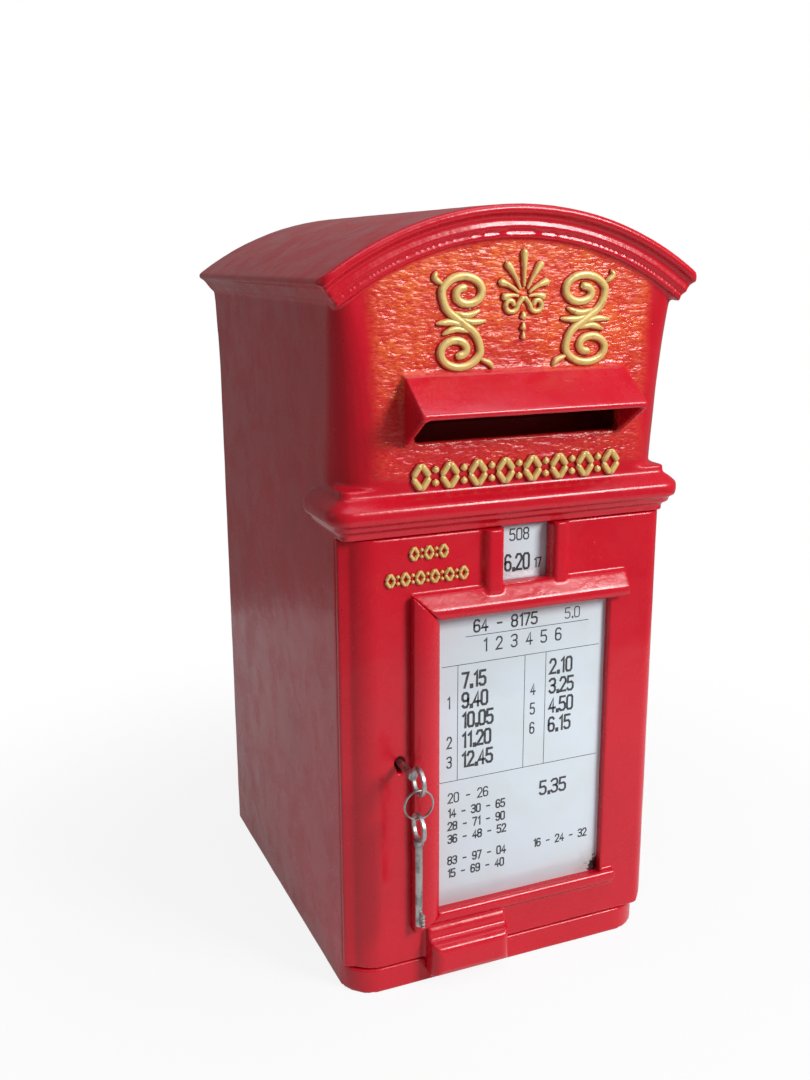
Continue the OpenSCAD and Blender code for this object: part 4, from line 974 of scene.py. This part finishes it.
def add_lathe(verts, faces, matrix, profile, sides=24):
    """A turned form from (radius, along) pairs."""
    base = len(verts)
    for r, h in profile:
        for j in range(sides):
            a = 2 * math.pi * j / sides
            verts.append(matrix @ Vector((r * math.cos(a), r * math.sin(a), h)))
    for i in range(len(profile) - 1):
        for j in range(sides):
            a = base + i * sides + j
            b = base + i * sides + (j + 1) % sides
            faces.append((a, b, b + sides, a + sides))
    faces.append(tuple(base + j for j in reversed(range(sides))))
    faces.append(tuple(base + (len(profile) - 1) * sides + j for j in range(sides)))


def add_half_head(verts, faces, matrix, radius, low, high, slot, side):
    """One side of a slotted head above its floor."""
    count = 14
    edge = math.asin(min(0.9, slot / radius))
    angles = [edge + (math.pi - 2 * edge) * k / count for k in range(count + 1)]
    base = len(verts)
    for scale, h in ((1.0, low), (1.0, low + (high - low) * 0.55), (0.86, high)):
        for a in angles:
            x = radius * scale * math.cos(a)
            y = max(slot, radius * scale * math.sin(a))
            verts.append(matrix @ Vector((x, side * y, h)))
    n = count + 1
    for i in range(2):
        for k in range(n - 1):
            a = base + i * n + k
            face = (a, a + 1, a + n + 1, a + n)
            faces.append(face if side < 0 else face[::-1])
        face = (base + i * n + n - 1, base + i * n, base + (i + 1) * n, base + (i + 1) * n + n - 1)
        faces.append(face if side < 0 else face[::-1])
    top = tuple(base + 2 * n + k for k in range(n))
    faces.append(top if side < 0 else top[::-1])


SCREW_PITCH = 0.0010


def make_screws(node, axis, head_at_low=False, flush=False):
    """Slotted screws in the places of the CAD screws; flush ones have a tapered head."""
    verts, faces = [], []
    k = "xyz".index(axis)
    others = [i for i in range(3) if i != k]
    for number, part in enumerate(islands(NODES[node].data)):
        lo, hi = part.min(0), part.max(0)
        centre = (lo + hi) / 2
        head_r = (hi[others[0]] - lo[others[0]]) / 2
        length = hi[k] - lo[k]
        tip = part[np.isclose(part[:, k], hi[k] if head_at_low else lo[k], atol=1e-5)]
        shank_r = np.linalg.norm(tip[:, others] - centre[others], axis=1).max()
        origin = Vector(centre)
        origin[k] = lo[k] if head_at_low else hi[k]
        inward = Vector((0, 0, 0))
        inward[k] = 1.0 if head_at_low else -1.0
        spin = Matrix.Rotation(0.5 + 1.7 * number, 4, "Z")
        matrix = Matrix.Translation(origin) @ inward.to_track_quat("Z", "Y").to_matrix().to_4x4() @ spin
        depth = min(head_r * 0.4, 0.0011)
        profile = [(head_r * 0.985, depth), (head_r, depth + 0.0001)]
        if flush:
            profile += [(shank_r, max(depth + 0.0003, head_r - shank_r))]
        else:
            profile += [(head_r, depth + 0.0006), (shank_r, depth + 0.00065)]
        start = profile[-1][1] + 0.0006
        while start + SCREW_PITCH < length - 0.0012:
            profile += [(shank_r, start), (shank_r * 0.84, start + SCREW_PITCH * 0.5)]
            start += SCREW_PITCH
        profile += [(shank_r, length - 0.0009), (shank_r * 0.7, length)]
        add_lathe(verts, faces, matrix, profile)
        for side in (-1, 1):
            add_half_head(verts, faces, matrix, head_r, depth, 0.0, head_r * 0.13, side)
    name = node + "_slotted"
    mesh = build_mesh(name, verts, faces)
    bm = bmesh.new()
    bm.from_mesh(mesh)
    bmesh.ops.recalc_face_normals(bm, faces=bm.faces)
    bm.to_mesh(mesh)
    bm.free()
    smooth_faces(mesh, 35)
    obj = add_object(name, mesh, MATERIALS["steel"], NODES[node]["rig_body"])
    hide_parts(node)


def dress_node(node, material, bevel=0.0):
    """Gives a CAD node its finish, with a small edge break where it has one."""
    obj = NODES[node]
    obj.data.materials.clear()
    obj.data.materials.append(MATERIALS[material])
    if bevel:
        weld = obj.modifiers.new("weld", "WELD")
        weld.merge_threshold = WELD
        edge = obj.modifiers.new("edge break", "BEVEL")
        edge.width = bevel
        edge.segments = 2
        edge.limit_method = "ANGLE"
        edge.angle_limit = math.radians(35)
        edge.harden_normals = True


# ---------------------------------------------------------------- operators
class LETTERBOX_OT_finishes(bpy.types.Operator):
    """Make the paint, enamel and metal finishes"""
    bl_idname = "letterbox.finishes"
    bl_label = "Finishes"

    def execute(self, context):
        make_materials()
        return {"FINISHED"}


class LETTERBOX_OT_castings(bpy.types.Operator):
    """Round and paint the iron castings"""
    bl_idname = "letterbox.castings"
    bl_label = "Castings"

    def execute(self, context):
        paint = group_settings("paint")
        soft_copy("body_casting", "body_casting_painted", paint.body_voxel, 6, 0.22,
                  MATERIALS["body"], wave=0.00016, grain=0.00042)
        soft_copy("door_casting", "door_casting_painted", paint.door_voxel, 6, 0.4,
                  MATERIALS["door"], wave=0.00012)
        soft_copy("retaining_strip", "retaining_strip_painted", 0.0007, 5, 0.5,
                  MATERIALS["door"])
        for node in ("back_plate", "base_plate"):
            soft_copy(node, node + "_painted", 0.0015, 3, 0.35, MATERIALS["inner"])
        return {"FINISHED"}


class LETTERBOX_OT_gilt(bpy.types.Operator):
    """Raise the gilded scrolls, palmette and lozenge rows"""
    bl_idname = "letterbox.gilt"
    bl_label = "Gilt relief"

    def execute(self, context):
        make_gilt()
        return {"FINISHED"}


class LETTERBOX_OT_plates(bpy.types.Operator):
    """Enamel the notice plate and the number tablet"""
    bl_idname = "letterbox.plates"
    bl_label = "Enamel plates"

    def execute(self, context):
        make_plates()
        return {"FINISHED"}


class LETTERBOX_OT_keys(bpy.types.Operator):
    """Round the keys and wind the split ring"""
    bl_idname = "letterbox.keys"
    bl_label = "Keys and ring"

    def execute(self, context):
        make_keys()
        return {"FINISHED"}


class LETTERBOX_OT_screws(bpy.types.Operator):
    """Cut slotted screws in the places of the plain ones"""
    bl_idname = "letterbox.screws"
    bl_label = "Screws"

    def execute(self, context):
        make_screws("back_screws", "y", flush=True)
        make_screws("base_screws", "z", head_at_low=True, flush=True)
        for node in ("strip_screws", "holder_screws", "baffle_screws", "lock_screws"):
            make_screws(node, "y")
        return {"FINISHED"}


class LETTERBOX_OT_lock(bpy.types.Operator):
    """Finish the lock, its keeper, the hinge pins and the sheet parts"""
    bl_idname = "letterbox.lock"
    bl_label = "Lock and fittings"

    def execute(self, context):
        for node in ("lock_case", "lock_cap"):
            dress_node(node, "brass", 0.0004)
        for node in ("lock_levers", "lock_bolt", "lock_curtain", "tablet_holder"):
            dress_node(node, "brass", 0.00025)
        for node in ("hinge_pin_upper", "hinge_pin_lower", "lever_pivot", "keeper_screws"):
            dress_node(node, "steel", 0.0002)
        dress_node("lever_spring", "spring")
        dress_node("bolt_keeper", "zinc", 0.0004)
        dress_node("letter_baffle", "inner", 0.0003)
        return {"FINISHED"}


# ---------------------------------------------------------------- stage
CAMERA_PLACE = (-0.3414, -0.7692, 0.4799)
FLOOR_RADIUS = 0.8
FLOOR_SIDES = 96


def add_area(name, place, target, size, power, colour=(1.0, 1.0, 1.0)):
    data = bpy.data.lights.new(name, "AREA")
    data.shape = "RECTANGLE"
    data.size = size[0]
    data.size_y = size[1]
    data.energy = power
    data.color = colour
    lamp = bpy.data.objects.new(name, data)
    SCENE.collection.objects.link(lamp)
    lamp.location = place
    lamp.rotation_euler = (Vector(target) - Vector(place)).to_track_quat("-Z", "Y").to_euler()


def seen_white(tree, glossy):
    """How far a ray sees plain white: the camera and glass in full, mirror-like paint in part."""
    path = tree.nodes.new("ShaderNodeLightPath")
    seen = multiply(tree, path.outputs["Is Glossy Ray"], glossy)
    seen = math_node(tree, "MAXIMUM", seen, path.outputs["Is Camera Ray"])
    return math_node(tree, "MAXIMUM", seen, path.outputs["Is Transmission Ray"])


def set_camera():
    stage = group_settings("stage")
    data = bpy.data.cameras.new("camera")
    data.sensor_fit = "VERTICAL"
    data.sensor_height = 36.0
    data.lens = stage.lens
    data.clip_start = 0.01
    camera = bpy.data.objects.new("camera", data)
    SCENE.collection.objects.link(camera)
    level = math.cos(stage.elevation)
    down = -math.sin(stage.elevation)
    away = Vector((-math.sin(stage.azimuth) * level, math.cos(stage.azimuth) * level, down))
    turn = away.to_track_quat("-Z", "Y").to_matrix().to_4x4() @ Matrix.Rotation(stage.roll, 4, "Z")
    camera.matrix_world = Matrix.Translation(CAMERA_PLACE) @ turn
    SCENE.camera = camera


def pale_floor_material():
    """Matt grey to the lights, near white to the camera, whiter away from the box."""
    material = bpy.data.materials.new("Pale floor")
    material.use_nodes = True
    tree = material.node_tree
    tree.nodes.remove(tree.nodes["Principled BSDF"])
    matt = tree.nodes.new("ShaderNodeBsdfDiffuse")
    matt.inputs["Color"].default_value = (0.80, 0.80, 0.80, 1.0)
    glow = tree.nodes.new("ShaderNodeEmission")
    glow.inputs["Color"].default_value = WHITE
    glow.inputs["Strength"].default_value = 1.0
    place = tree.nodes.new("ShaderNodeTexCoord")
    reach = tree.nodes.new("ShaderNodeVectorMath")
    reach.operation = "LENGTH"
    tree.links.new(place.outputs["Object"], reach.inputs[0])
    share = ramp_node(tree, reach.outputs["Value"], 0.2, 0.6, 0.88, 1.0)
    mix = tree.nodes.new("ShaderNodeMixShader")
    tree.links.new(multiply(tree, seen_white(tree, 0.3), share), mix.inputs[0])
    tree.links.new(matt.outputs[0], mix.inputs[1])
    tree.links.new(glow.outputs[0], mix.inputs[2])
    tree.links.new(mix.outputs[0], tree.nodes["Material Output"].inputs["Surface"])
    return material


def lay_floor():
    angles = [2 * math.pi * k / FLOOR_SIDES for k in range(FLOOR_SIDES)]
    rim = [(FLOOR_RADIUS * math.cos(a), FLOOR_RADIUS * math.sin(a), 0.0) for a in angles]
    mesh = build_mesh("floor", rim, [tuple(range(FLOOR_SIDES))])
    floor = bpy.data.objects.new("floor", mesh)
    SCENE.collection.objects.link(floor)
    floor.location.z = -0.0004
    mesh.materials.append(pale_floor_material())


def set_world():
    """A dim white sky that the camera sees as plain white."""
    world = bpy.data.worlds.new("studio")
    SCENE.world = world
    world.use_nodes = True
    tree = world.node_tree
    lit = tree.nodes["Background"]
    lit.inputs["Color"].default_value = WHITE
    lit.inputs["Strength"].default_value = 0.16
    plain = tree.nodes.new("ShaderNodeBackground")
    plain.inputs["Color"].default_value = WHITE
    plain.inputs["Strength"].default_value = 1.0
    mix = tree.nodes.new("ShaderNodeMixShader")
    tree.links.new(seen_white(tree, 0.06), mix.inputs[0])
    tree.links.new(lit.outputs[0], mix.inputs[1])
    tree.links.new(plain.outputs[0], mix.inputs[2])
    tree.links.new(mix.outputs[0], tree.nodes["World Output"].inputs["Surface"])


class LETTERBOX_OT_stage(bpy.types.Operator):
    """Set the floor, lights and camera"""
    bl_idname = "letterbox.stage"
    bl_label = "Stage"

    def execute(self, context):
        set_camera()
        lay_floor()
        set_world()
        add_area("key light", (1.05, -1.70, 1.30), (0.0, 0.0, 0.28), (0.7, 0.7), 44.0)
        add_area("sky panel", (0.15, -0.45, 1.65), (0.0, -0.1, 0.3), (1.3, 1.0), 10.0, (0.80, 0.84, 1.0))
        add_area("left fill", (-1.9, 0.2, 0.8), (0.0, 0.0, 0.25), (1.0, 1.2), 1.5)
        SCENE.view_settings.view_transform = "Standard"
        return {"FINISHED"}


class LETTERBOX_PT_panel(bpy.types.Panel):
    """Steps and sizes of the letter box"""
    bl_idname = "LETTERBOX_PT_panel"
    bl_label = "Letter box"
    bl_space_type = "VIEW_3D"
    bl_region_type = "UI"
    bl_category = "Letter box"

    def draw(self, context):
        for step in STEPS:
            self.layout.operator("letterbox." + step)
        for name, kind in SETTINGS:
            column = self.layout.column(heading=name.capitalize())
            for field in kind.__annotations__:
                column.prop(group_settings(name), field)


STEPS = ("finishes", "castings", "gilt", "plates", "keys", "screws", "lock", "stage")
SETTINGS = (("paint", LetterBoxPaint), ("gilt", LetterBoxGilt), ("plates", LetterBoxPlates),
            ("keys", LetterBoxKeys), ("stage", LetterBoxStage))
CLASSES = (LETTERBOX_OT_finishes, LETTERBOX_OT_castings, LETTERBOX_OT_gilt, LETTERBOX_OT_plates,
           LETTERBOX_OT_keys, LETTERBOX_OT_screws, LETTERBOX_OT_lock, LETTERBOX_OT_stage,
           LETTERBOX_PT_panel)


def register():
    for name, kind in SETTINGS:
        bpy.utils.register_class(kind)
        setattr(bpy.types.Scene, "letter_box_" + name, bpy.props.PointerProperty(type=kind))
    for kind in CLASSES:
        bpy.utils.register_class(kind)


def unregister():
    for kind in reversed(CLASSES):
        bpy.utils.unregister_class(kind)
    for name, kind in reversed(SETTINGS):
        delattr(bpy.types.Scene, "letter_box_" + name)
        bpy.utils.unregister_class(kind)


def main():
    register()
    for step in STEPS:
        getattr(bpy.ops.letterbox, step)()
    bpy.context.view_layer.update()


if __name__ == "__main__":
    main()
